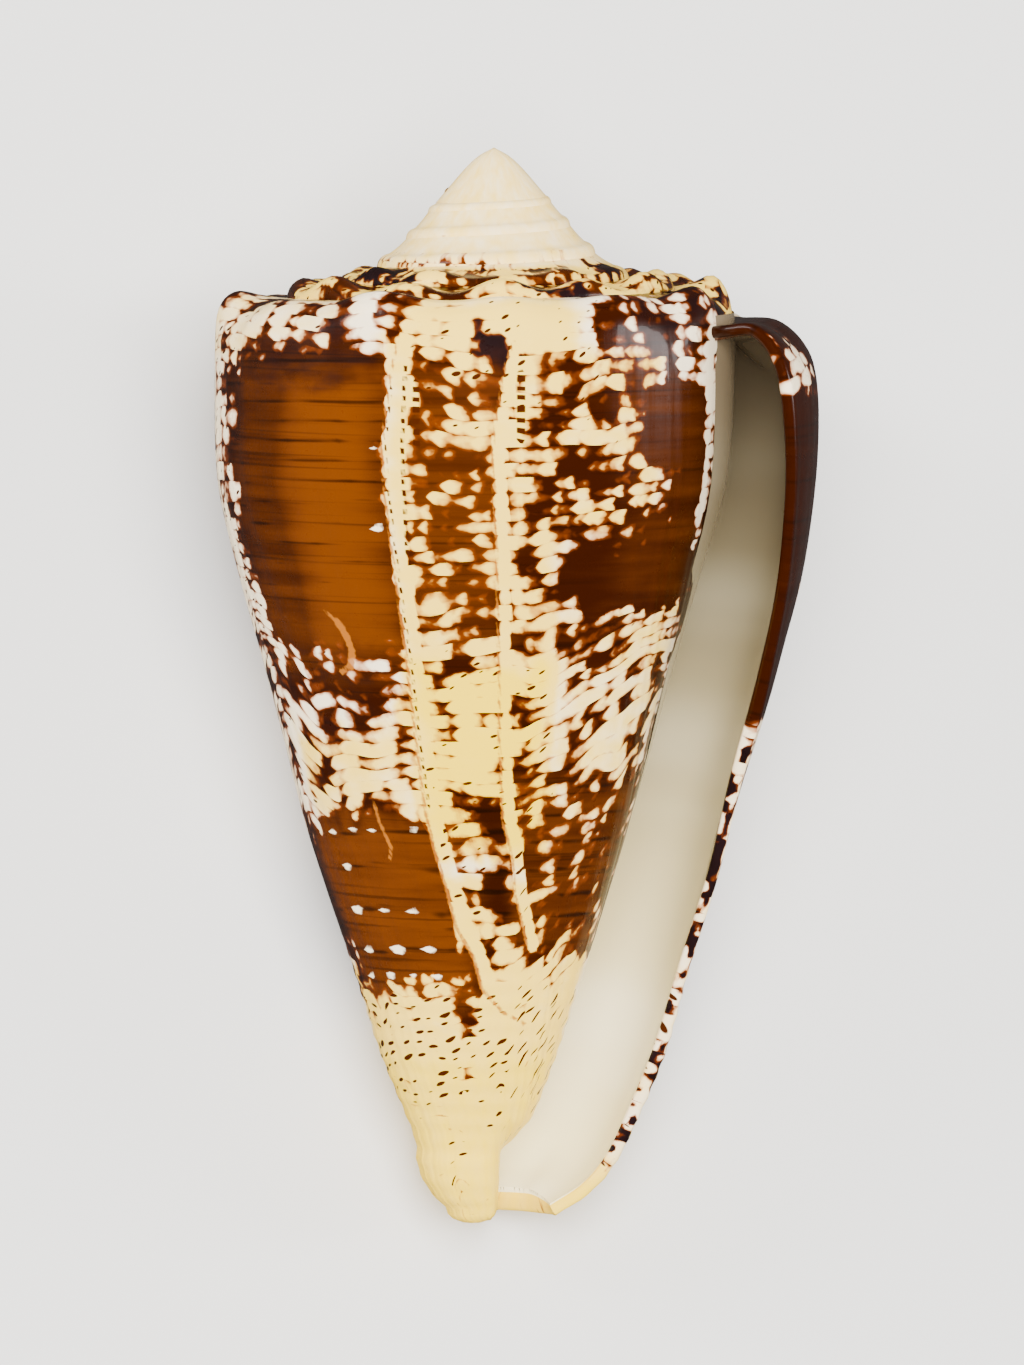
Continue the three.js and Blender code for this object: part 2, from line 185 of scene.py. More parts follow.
@dataclass
class GrowthForm:
    """The growth law of the shell: where its wall stands at each angle and row of the outline."""

    whorl_ratio: float = 1.33
    crest_radius: float = 13.4
    landing_to_crest: float = 14.8 / 13.4
    knobs_per_whorl: int = 12
    knob_height: float = 0.42
    knob_rows: float = 2.4
    flat_depth: float = 0.6
    flat_centre: float = 1.95
    flat_width: float = 0.5
    core_radius: float = 1.6
    lip_thickness: float = 0.75
    wall_thickness: float = 1.5
    lip_bevel: float = 0.8
    flat_radius: float = 17.4
    neck_row: float = 12.6
    neck_back: float = 4.55
    neck_taper: float = 0.85
    knob_lumps: float = 1.3
    smallest_knobbed: float = 0.42
    cord_height: float = 0.045
    cord_pitch: float = 1.25
    cord_depth: float = 46.0
    closing_rows: float = 1.2
    slope_step: float = 0.2
    relief_seeds: tuple[int, ...] = (3, 5, 7, 11)
    roll: float = math.radians(-12.9031)
    lean: float = math.radians(-75.1142)
    tip: tuple[float, float, float] = (-1.33021, 31.51828, 22.29701)
    spire_profile: Curve = field(
        default_factory=lambda: Curve(
            [(0, 0), (1.1, 0.65), (3.4, 3.2), (5.6, 5.75), (7.3, 7.1), (10.2, 7.75), (13.4, 8.6), (14.9, 8.95)]
        )
    )
    suture_step: Curve = field(
        default_factory=lambda: Curve([(0, 0.02), (5.5, 0.12), (7.5, 0.5), (11.8, 0.85), (13.4, 1.77)])
    )
    lip_line: Curve = field(
        default_factory=lambda: Curve([(10, -28), (27, -21), (36, -14), (44, -6), (52, -1), (65, 0)])
    )
    cavity_floor: Curve = field(
        default_factory=lambda: Curve([(0, 18), (1.3, 18), (2.0, 14.5), (3.2, 12.8), (6.3, 11.6)])
    )

    def __post_init__(self) -> None:
        """Turns the outline table into smooth curves and sets the turn from growth frame to world."""
        self.stages = []
        for stage in ("lip", "half_back", "whorl_back"):
            rows = [getattr(row, stage) for row in OUTLINE]
            radius = Curve([(i, r[0]) for i, r in enumerate(rows)])
            depth = Curve([(i, r[1]) for i, r in enumerate(rows)])
            self.stages.append((radius, depth))
        self.turn = Matrix.Rotation(self.lean, 3, "X") @ Matrix.Rotation(self.roll, 3, "Z")
        self.relief = [LatticeNoise(seed) for seed in self.relief_seeds]

    def knob_lift(self, back: Array, row: Array, size: Array) -> Array:
        """How much the shoulder knobs raise the wall.

        Args:
            back, row: turn before the lip in radians, and row of the outline.
            size: size of the whorl, with the last one at 1.

        Returns:
            The lift in mm.
        """
        near = np.maximum(0, 1 - np.abs(row - CREST - 0.5) / self.knob_rows)
        uneven = 1 + 0.5 * self.relief[0](back * 1.9, row * 0)
        lumps = self.knob_lumps * self.relief[1](back * 3.1, row * 0)
        wave = uneven * np.cos(self.knobs_per_whorl * back) + lumps
        grown = smoothstep((size - self.smallest_knobbed) / 0.2)
        return self.knob_height * size * smoothstep(near) * grown * wave

    def surface_relief(self, back: Array, row: Array, depth: Array) -> Array:
        """Growth ridges, spiral cords near the narrow end and slow unevenness, as a change of radius in mm.

        Args:
            back, row: turn before the lip in radians, and row of the outline.
            depth: depth in mm.

        Returns:
            The change of radius.
        """
        along = back * MEAN_RADIUS
        ridges = 0.035 * self.relief[1](along / 0.55, depth / 26) + 0.05 * self.relief[2](along / 2.4, depth / 40)
        cords = self.cord_height * np.sin(TURN * depth / self.cord_pitch)
        cords = cords * smoothstep((depth - self.cord_depth) / 6)
        slow = 0.1 * self.relief[3](along / 9, depth / 7)
        return (ridges + cords + slow) * smoothstep((row - 0.4) / 1.5)

    def last_whorl(self, back: Array, row: Array) -> tuple[Array, Array]:
        """Radius and depth on the last whorl, as a parabola in back through the three stages.

        Args:
            back, row: turn before the lip in radians, and row of the outline.

        Returns:
            Their radius and depth in mm.
        """
        t = np.clip(back / TURN, 0, 1.2)
        weights = ((1 - t) * (1 - 2 * t), 4 * t * (1 - t), t * (2 * t - 1))
        radius = sum(w * stage[0](row) for w, stage in zip(weights, self.stages))
        depth = sum(w * stage[1](row) for w, stage in zip(weights, self.stages))
        off_centre = (back - self.flat_centre) / self.flat_width
        flat = self.flat_depth / self.flat_radius * np.exp(-(off_centre**2))
        lift = self.knob_lift(back, row, np.ones_like(back))
        neck = smoothstep(row - self.neck_row) * smoothstep((back - self.neck_back) / 0.8)
        return (radius * (1 - flat) + lift / 2) * (1 - self.neck_taper * neck), depth - lift

    def landing(self, back: Array) -> tuple[Array, Array]:
        """Radius and depth where the next whorl rests on this one.

        Args:
            back: turn before the lip in radians.

        Returns:
            Their radius and depth in mm.
        """
        near = self.last_whorl(back, np.full_like(back, LANDING))
        crest = self.crest_radius * self.whorl_ratio ** (1 - back / TURN)
        radius = crest * self.landing_to_crest
        depth = self.spire_profile(radius) + self.suture_step(crest)
        old = back > TURN
        return np.where(old, radius, near[0]), np.where(old, depth, near[1])

    def spire_whorl(self, back: Array, row: Array) -> tuple[Array, Array]:
        """Radius and depth on a whorl of the spire, from its suture to a little past its landing.

        Args:
            back, row: turn before the lip in radians, and row of the outline.

        Returns:
            Their radius and depth in mm.
        """
        size = self.whorl_ratio ** (1 - back / TURN)
        crest_radius = self.crest_radius * size
        crest_depth = self.spire_profile(crest_radius) - self.knob_lift(back, np.full_like(back, CREST), size)
        start = self.landing(back + TURN)
        end = self.landing(back)
        up = row / CREST
        dip = 0.12 * size * np.sin(np.clip(up, 0, 1) * math.pi)
        down = np.clip((row - CREST) / (LANDING - CREST), 0, 1.3) * math.pi / 2
        before = row <= CREST
        radius = np.where(before, mix(start[0], crest_radius, up), mix(crest_radius, end[0], np.sin(down)))
        depth = np.where(before, mix(start[1], crest_depth, up) + dip, mix(crest_depth, end[1], 1 - np.cos(down)))
        return radius, depth

    def inner_whorl(self, back: Array, row: Array) -> tuple[Array, Array]:
        """Radius and depth of an older whorl's side, which lies inside the shell.

        Args:
            back, row: turn before the lip in radians, and row of the outline.

        Returns:
            Their radius and depth in mm.
        """
        radius, depth = self.last_whorl(np.full_like(back, TURN), row)
        core = np.minimum(radius, self.core_radius)
        return core + (radius - core) * self.whorl_ratio ** (1 - back / TURN), depth

    def wall(self, back: Array, row: Array) -> tuple[Array, Array]:
        """Radius and depth of the outer face of the last whorl, from its suture to the rim.

        Args:
            back, row: turn before the lip in radians, and row of the outline.

        Returns:
            Their radius and depth in mm.
        """
        suture = self.landing(back + TURN)
        near = self.last_whorl(back, np.maximum(row, 1))
        share = np.clip(row, 0, 1)
        return mix(suture[0], near[0], share), mix(suture[1], near[1], share)

    def thickness(self, back: Array) -> Array:
        """Thickness of the last whorl's wall, thin at the lip."""
        return mix(self.lip_thickness, self.wall_thickness, smoothstep(back / self.lip_bevel))

    def inner_face(self, back: Array, row: Array) -> tuple[Array, Array]:
        """Radius and depth of the inner face of the last whorl's wall, which closes on the core at the floor.

        Args:
            back, row: turn before the lip in radians, and row of the outline.

        Returns:
            Their radius and depth in mm.
        """
        before = self.wall(back, np.clip(row - self.slope_step, 0, RIM))
        after = self.wall(back, np.clip(row + self.slope_step, 0, RIM))
        run = np.hypot(after[0] - before[0], after[1] - before[1]) + 1e-9
        radius, depth = self.wall(back, row)
        wall = self.thickness(back)
        radius = radius - (after[1] - before[1]) / run * wall
        depth = depth + (after[0] - before[0]) / run * wall
        core_radius, core_depth = self.inner_whorl(back + TURN, np.maximum(row, LANDING))
        floor = self.cavity_floor(back)
        closing = smoothstep((row - floor) / self.closing_rows + 1)
        radius = np.maximum(radius, np.where(row > LANDING, core_radius, 0))
        return mix(radius, core_radius, closing), mix(depth, core_depth, closing)

    def angle(self, back: Array, depth: Array) -> Array:
        """Place round the axis in degrees, counted on from the lip."""
        return self.lip_line(depth) + np.degrees(back)

    def place(self, radius: Array, depth: Array, back: Array) -> Array:
        """World position in metres of points given in the growth frame.

        Args:
            radius, depth: in mm.
            back: turn before the lip in radians.

        Returns:
            The positions, with x, y and z along the last axis.
        """
        turned = np.radians(self.angle(back, depth))
        growth = np.stack([radius * np.cos(turned), radius * np.sin(turned), -depth], -1)
        return (growth @ np.array(self.turn).T + np.array(self.tip)) * MM


def side_radius(depth: Array) -> Array:
    """Typical radius of the last whorl at a depth, in mm."""
    return np.interp(depth, [17, 40, 62], [17.8, 12.2, 4.2])


@dataclass(frozen=True)
class Zone:
    """A patch of the last whorl between two angles, in degrees, and two depths, in mm."""

    name: str
    angles: tuple[float, float]
    depths: tuple[float, float]
    level: float = 1.0
    soft: float = 0.8

    def reach(self, angle: Array, depth: Array, radius: Array) -> Array:
        """Distance in mm to the patch's edge, above 0 inside it.

        Args:
            angle, depth, radius: places on the last whorl, in degrees and mm.

        Returns:
            The distances.
        """
        scale = np.maximum(radius, 1.5) * math.pi / 180
        side = np.minimum((angle - self.angles[0]) * scale, (self.angles[1] - angle) * scale)
        end = np.minimum(depth - self.depths[0], self.depths[1] - depth)
        return np.minimum(side, end)

    def weight(self, angle: Array, depth: Array, radius: Array) -> Array:
        """The patch's level inside it, fading to 0 outside over its soft edge."""
        return self.level * smoothstep(self.reach(angle, depth, radius) / self.soft + 0.5)


@dataclass(frozen=True)
class Stroke:
    """A line drawn on the shell through (angle, depth) points, with a half width in mm."""

    name: str
    points: tuple[tuple[float, float], ...]
    half_width: float

    def reach(self, angle: Array, depth: Array, radius: Array) -> Array:
        """Distance in mm to the stroke's edge, above 0 on the stroke.

        Args:
            angle, depth, radius: places on the last whorl, in degrees and mm.

        Returns:
            The distances.
        """
        scale = np.maximum(radius, 1.5) * math.pi / 180
        best = np.full(angle.shape, 1e9)
        for (a0, d0), (a1, d1) in zip(self.points, self.points[1:]):
            run_x = (a1 - a0) * scale
            run_y = d1 - d0
            x = (angle - a0) * scale
            y = depth - d0
            t = np.clip((x * run_x + y * run_y) / (run_x**2 + run_y**2), 0, 1)
            best = np.minimum(best, np.hypot(x - t * run_x, y - t * run_y))
        return self.half_width - best


PALE_ZONES = (
    Zone("shoulder by the lip", (16, 33), (9.2, 13.0), 1.4),
    Zone("blue-white shoulder", (40, 58), (8.8, 12.8), 1.3),
    Zone("shoulder before the scar", (67, 84), (10.2, 13.8), 1.4),
    Zone("shoulder past the scar", (82, 152), (8.4, 12.0), 1.5),
    Zone("strip past the scar", (77.5, 89.5), (9.5, 34.5), 2.6, 0.5),
    Zone("top of that strip", (84, 106), (9.5, 14.2), 1.6),
    Zone("pale side of the back", (119, 134), (10.5, 31.5), 1.5, 1.1),
    Zone("side strip", (177, 196), (8.5, 32.5), 1.3, 1.1),
    Zone("white shoulder", (195, 213), (7.6, 12.4), 1.2, 1.0),
    Zone("next white shoulder", (218, 232), (7.6, 12.6), 1.0, 1.0),
    Zone("last white shoulder", (236, 246.5), (7.6, 12.4), 1.0, 1.0),
    Zone("cream shoulder", (249, 298), (7.8, 13.4), 1.8, 0.8),
    Zone("wide top of the growth line", (246.5, 253), (12, 21), 2.2, 0.4),
    Zone("cream by the growth line", (251, 257), (13, 31), 0.3, 0.8),
    Zone("cream past the second line", (272, 280), (12, 30), 1.2, 0.9),
    Zone("ring of cream", (284, 296), (13.6, 15), 1.2, 0.8),
    Zone("cream beside the aperture", (327, 336), (11.0, 24.5), 1.7, 0.6),
    Zone("lower cream beside the aperture", (327, 334), (27.5, 33), 1.2, 0.8),
    Zone("white top of the lip", (-26, -12), (12.0, 15.0), 0.9),
    Zone("yellow band", (248, 285), (30.5, 39.8), 2.3, 1.5),
    Zone("yellow band at the back", (76, 106), (32.5, 43), 1.9, 1.2),
    Zone("cream patch under the front block", (214, 247), (36, 39.8), 1.7, 0.9),
    Zone("cream foot of the lines", (262, 290), (47.3, 54), 2.0, 1.0),
    Zone("cream at the side of the front", (193, 206), (31, 41.5), 0.7, 1.2),
    Zone("white patch", (284, 300), (30.5, 35), 0.9, 1.2),
)
GROWTH_LINE = (
    (251, 12), (249.2, 14.7), (247.2, 18.5), (247.7, 21.9), (248.1, 25.6), (248.9, 31.2), (249.1, 36), (250, 40),
    (251.7, 42.4), (253.8, 44), (257.5, 47.3), (264.5, 49.2), (268, 51.1), (280, 52.5), (294, 53.2)
)
SECOND_LINE = (
    (276, 12), (274, 13.6), (272.3, 16.3), (271.3, 18.8), (271.8, 21.9), (272.5, 25.2), (272.8, 28.3), (273.5, 32),
    (273.7, 36), (275.4, 40.8), (279.7, 43.2), (281.2, 45.2), (285, 46.8), (289.5, 48.5)
)
PALE_STROKES = (
    Stroke("growth line", GROWTH_LINE, 0.55),
    Stroke("second growth line", SECOND_LINE, 0.45),
)
BAND_TOP = Curve(
    [(-28, 33), (12, 32.5), (30, 32), (45, 33.5), (52, 34.3), (60, 33.3), (72, 33), (78, 30), (90, 30), (97, 33),
     (105, 31), (112, 32.5), (118, 31), (126, 30), (136, 31.5), (150, 33), (165, 32.5), (180, 31), (196, 30.6),
     (206, 33.4), (225, 35.4), (240, 35), (248, 29.3), (254, 29.5), (264, 30.3), (276, 30), (286, 31), (296, 28.6),
     (330, 28.4)]
)
BAND_FOOT = Curve(
    [(-28, 43), (12, 43.5), (30, 43.8), (46, 43.2), (52, 42.4), (62, 42.4), (74, 43.2), (90, 44.8), (98, 44.2),
     (105, 42), (112, 40.5), (118, 41.3), (126, 42.8), (136, 41.8), (150, 41), (196, 41), (212, 40.4), (226, 40),
     (238, 39.6), (246, 40), (250, 43.2), (258, 42), (264, 39.2), (272, 38.9), (277, 40.5), (286, 40.2),
     (298, 37), (315, 36.2), (330, 37.5)]
)
BASE_TOP = Curve(
    [(-28, 55), (12, 55.6), (30, 55.6), (46, 54.8), (72, 55), (80, 53.5), (100, 53), (116, 53.2), (126, 51.6),
     (140, 51), (165, 51.2), (180, 51.6), (210, 51.3), (226, 51), (238, 50.9), (246, 51.6), (262, 51.8),
     (266, 49), (272, 48.6), (290, 49), (315, 48.7), (330, 48.5)]
)
AMBER_ZONES = (
    Zone("front block", (198, 230), (12, 33), 0.4, 4),
    Zone("bright side of the front block", (219, 246), (14, 31), 1.0, 7),
    Zone("front lower block", (192, 262), (40.5, 52), 0.68, 3),
    Zone("side block", (136, 178), (12, 33), 0.5, 4),
    Zone("lower half of the back block", (44, 78), (21, 33), 0.5, 5),
    Zone("lower band of the back", (14, 73), (43, 51), 0.42, 3),
    Zone("lower band of the side", (122, 178), (41, 52), 0.6, 4),
    Zone("flames", (250, 274), (13, 31), 0.42, 3),
    Zone("smooth brown by the aperture", (300, 334), (13, 28), 0.3, 4),
    Zone("lower side of the front", (276, 334), (38, 49), 0.4, 2),
)
DARK_ZONES = (
    Zone("front shoulder gap", (229, 235), (8, 13), 0.5, 1.5),
    Zone("purple shoulder", (266, 276), (10.2, 14), 0.8, 1.5),
    Zone("shoulder by the aperture", (303, 334), (8, 11.6), 0.6, 2),
    Zone("back shoulder gap", (32, 41), (8, 13.5), 1.0, 1.5),
    Zone("next back shoulder gap", (57, 68), (8, 13.5), 1.0, 1.5),
    Zone("outside of the lip", (-28, 13), (12, 45), 0.26, 4),
    Zone("grey smudge", (72, 82), (43.5, 54.5), 0.75, 1.5),
    Zone("top of the back block", (14, 60), (12.5, 20), 0.6, 4),
    Zone("top of the front block", (194, 246), (11, 15.5), 0.5, 3),
    Zone("left of the front block", (186, 209), (12, 32), 0.45, 7),
    Zone("flake network", (196, 240), (29.6, 38), 0.35, 2),
)
INK_ZONES = (
    Zone("upper dark square", (111, 118), (34.2, 36.2), 1.0, 0.4),
    Zone("lower dark square", (108, 117), (37.6, 39.0), 1.0, 0.4),
    Zone("dark square by the scar", (90, 94.5), (19.6, 22), 1.0, 0.4),
    Zone("upper dark square by the scar", (90.5, 93), (18.0, 19.1), 1.0, 0.3),
)
YELLOW_ZONES = (
    Zone("front of the pale band", (246, 288), (31, 43), 1.0, 3),
    Zone("back of the pale band", (76, 108), (32, 45), 1.0, 3),
    Zone("side of the pale band", (286, 336), (27, 50), 0.33, 3),
    Zone("cream ring", (276, 312), (12, 24), 0.42, 3),
    Zone("under the front block", (200, 248), (35, 41), 0.4, 3),
    Zone("narrow end", (-30, 340), (54, 70), 0.75, 4),
    Zone("foot of the growth lines", (244, 300), (44, 56), 0.6, 3),
    Zone("back base", (84, 118), (53, 60), 1.0, 3),
    Zone("foot of the front", (178, 262), (49.5, 56), 0.5, 2),
    Zone("foot of the side", (284, 336), (47, 56), 0.5, 2),
    Zone("white shoulders", (176, 236), (8, 13), 0.22, 2),
    Zone("top of the scar strip", (78, 102), (9, 17), 0.9, 2),
    Zone("growth lines", (246, 290), (9, 33), 0.5, 3),
    Zone("pale side of the back", (118, 140), (10, 33), 0.35, 3),
)
DOT_ZONES = (
    Zone("everywhere", (-40, 345), (9, 59), 0.03, 1),
    Zone("base", (-40, 345), (51, 58), 0.78, 1.5),
    Zone("cream shoulder", (250, 298), (9, 17), 0.34, 2),
    Zone("yellow band", (250, 290), (31, 46), 0.3, 2),
    Zone("band at the back", (76, 110), (30, 50), 0.38, 2),
    Zone("side of the front", (178, 200), (10, 44), 0.45, 2),
    Zone("pale side of the back", (116, 142), (9, 31), 0.45, 2),
    Zone("back shoulder", (82, 150), (9, 15), 0.45, 2),
    Zone("narrow end", (-40, 345), (58, 63), 0.22, 1),
)
FLAKE_ZONES = (
    Zone("top of the ring", (280, 304), (13.4, 15.0), 1.0),
    Zone("right of the ring", (299, 306), (14.5, 20), 0.8),
    Zone("heart of the ring", (284, 303), (16.6, 19.4), 0.75),
    Zone("right cluster", (301, 317), (19.2, 22.2), 0.5),
    Zone("loose drops", (290, 305), (20, 24.5), 0.0),
    Zone("drops by the pale column", (279, 288), (13, 29), 0.05),
    Zone("flames", (251, 271), (13.2, 30.5), 0.05),
    Zone("mauve flames", (250, 274), (11.5, 15), 0.1),
    Zone("network under the front block", (196, 247), (29.8, 36), 0.0),
    Zone("slanted network", (282, 336), (28, 38), 0.6),
    Zone("right of the lower band", (290, 336), (37, 48.5), -0.45),
    Zone("edge of the lower band", (286, 298), (36.5, 49), 0.1),
    Zone("between the lines", (252, 280), (39, 48.5), -0.25),
    Zone("beside the line's foot", (255, 264), (42.5, 48.5), 0.5),
    Zone("back, past the scar", (88, 119), (13.2, 31), 0.1),
    Zone("right side of that", (109, 121), (12, 31), 0.45),
    Zone("edge of the pale side", (114, 143), (10.5, 31.5), 0.45),
    Zone("side of the band", (124, 176), (31, 42), 0.5),
    Zone("back of the band", (14, 76), (31.5, 43.8), 0.45),
    Zone("lower back", (92, 124), (42.5, 54), 0.0),
    Zone("foot of the back", (12, 78), (51.8, 56), 0.2),
    Zone("foot of the front", (178, 262), (49.2, 53), 0.25),
    Zone("flake column", (29, 38), (13.0, 20.2), 0.95, 0.5),
    Zone("flake row", (26, 42), (22.6, 24.6), 0.9, 0.4),
    Zone("edge of the side strip", (168, 199), (11.5, 31.5), 0.05),
    Zone("under the right shoulder", (296, 336), (9.5, 15.5), 0.25),
    Zone("lip side", (-8, 14), (13, 36), -0.6),
    Zone("strip behind the lip", (8, 17), (12, 46), 0.25, 0.8),
    Zone("lower lip side", (-24, 14), (36, 56), 0.25),
    Zone("under the back shoulder", (16, 76), (12.6, 16.2), -0.2),
)
BARE_ZONES = (
    Zone("mauve patch", (266.5, 275), (11, 13.4), 0.58, 1.4),
    Zone("edge of the lip", (-30, -6), (15.6, 34.5), 0.8, 1.0),
    Zone("smooth mahogany", (104, 117.5), (24.5, 30.3), 1.0, 0.6),
    Zone("front block", (203, 245.5), (13.2, 29.9), 1.0, 1.0),
    Zone("smooth brown", (308, 329), (14.8, 18.6), 1.0, 1),
    Zone("smooth brown under the cluster", (292, 330), (25, 28), 0.9, 1),
    Zone("smooth brown by the aperture", (319, 330), (18, 28), 0.9, 1),
    Zone("front lower block", (200, 251), (41, 50), 1.0, 1.0),
)


@dataclass(frozen=True)
class SpotRow:
    """A spiral row of white spots on the brown, between two angles at one depth."""

    depth: float
    angles: tuple[float, float]
    spacing: float
    half_length: float
    half_height: float


SPOT_ROWS = (
    SpotRow(18.8, (44, 76), 1.9, 0.5, 0.24),
    SpotRow(24.3, (44, 76), 2.2, 0.45, 0.2),
    SpotRow(28.5, (20, 60), 4.5, 0.5, 0.2),
    SpotRow(41.4, (196, 246), 2.6, 0.4, 0.22),
    SpotRow(43.7, (196, 226), 2.3, 0.62, 0.3),
    SpotRow(46.3, (194, 240), 2.4, 0.6, 0.3),
    SpotRow(48.7, (194, 250), 1.75, 0.6, 0.34),
    SpotRow(50.3, (194, 256), 1.5, 0.5, 0.3),
    SpotRow(45.5, (12, 60), 3.0, 0.5, 0.22),
    SpotRow(47.4, (10, 70), 2.6, 0.55, 0.22),
    SpotRow(50.2, (12, 76), 2.8, 0.5, 0.2),
    SpotRow(52.6, (12, 72), 2.6, 0.7, 0.32),
    SpotRow(44.8, (128, 176), 2.2, 0.5, 0.22),
    SpotRow(47.6, (128, 176), 2.4, 0.5, 0.22),
    SpotRow(18.4, (240.4, 243.6), 0.6, 0.5, 0.3),
    SpotRow(23.2, (240.0, 243.2), 0.6, 0.5, 0.3),
)
BAR_STROKES = (
    Stroke("dots left of the growth line", ((247.9, 14.7), (246.1, 18.5), (246.7, 21.9), (247, 25.6), (247.7, 31.2),
                                            (247.8, 36), (248.7, 40)), 0.1),
    Stroke("dots on the growth line", ((251, 13.5), (250, 18.5), (250, 21.9), (249.6, 25)), 0.14),
    Stroke("dots right of the growth line", ((253.4, 14.5), (253.2, 18.5)), 0.22),
    Stroke("dots by the second line", ((276, 14), (276, 18)), 0.26),
    Stroke("left comb", ((80.5, 24.5), (81, 32.5)), 0.55),
    Stroke("middle comb", ((85.5, 20), (86.3, 26), (87.5, 33)), 0.6),
    Stroke("right comb", ((92, 15), (92, 26), (93.5, 33.5)), 0.75),
    Stroke("dots on the back of the band", ((89.6, 36), (90, 50)), 0.2),
    Stroke("next dots on the back of the band", ((95, 36), (94.5, 44)), 0.2),
    Stroke("faint dots on the back of the band", ((82, 34), (82.5, 43)), 0.15),
)


@dataclass(frozen=True)
class DarkLine:
    """A dark spiral line in the brown, between two angles at one depth."""

    depth: float
    angles: tuple[float, float]
    half_width: float


DARK_LINES = (
    *(DarkLine(13.4 + 1.31 * i, (14, 80), 0.17) for i in range(14)),
    *(DarkLine(44.0 + 1.06 * i, (12, 74), 0.16) for i in range(9)),
    *(DarkLine(43.6 + 1.1 * i, (96, 176), 0.14) for i in range(8)),
    *(DarkLine(13.6 + 1.27 * i, (134, 180), 0.13) for i in range(15)),
    *(DarkLine(13.2 + 1.21 * i, (192, 247), 0.13 - 0.007 * i) for i in range(14)),
    *(DarkLine(depth, (190, 262), 0.15) for depth in (41.6, 43.6, 46.2, 48.7)),
    *(DarkLine(depth, (250, 278), 0.2) for depth in (40.2, 41.5, 42.6, 43.9, 45.0, 46.4, 47.5)),
    *(DarkLine(depth, (284, 336), 0.14) for depth in (38.6, 40.4, 42.1, 43.8, 45.3, 46.6)),
)
TAN_STROKES = (
    Stroke("left edge of the growth line", tuple((a - 33 / side_radius(d), d) for a, d in GROWTH_LINE), 0.11),
    Stroke("left edge of the second line", tuple((a - 27 / side_radius(d), d) for a, d in SECOND_LINE), 0.09),
    Stroke("repair scar", ((79, 14.5), (79.3, 18), (76, 19.5), (75.2, 24), (75.4, 28), (72, 30), (70, 31.2)), 0.28),
    Stroke("tail of the curved scar", ((225, 28.1), (228.3, 28.8)), 0.1),
    Stroke("curved scar", ((228.3, 28.8), (230.2, 29.6), (231.2, 30.6), (229.8, 31.5)), 0.24),
    Stroke("foot of the curved scar", ((229.8, 31.5), (226.4, 31.8)), 0.2),
    Stroke("thin scar", ((229.5, 39.6), (230, 40.8), (231.3, 41.6), (232.9, 42.4), (231.2, 43.2)), 0.12),
)


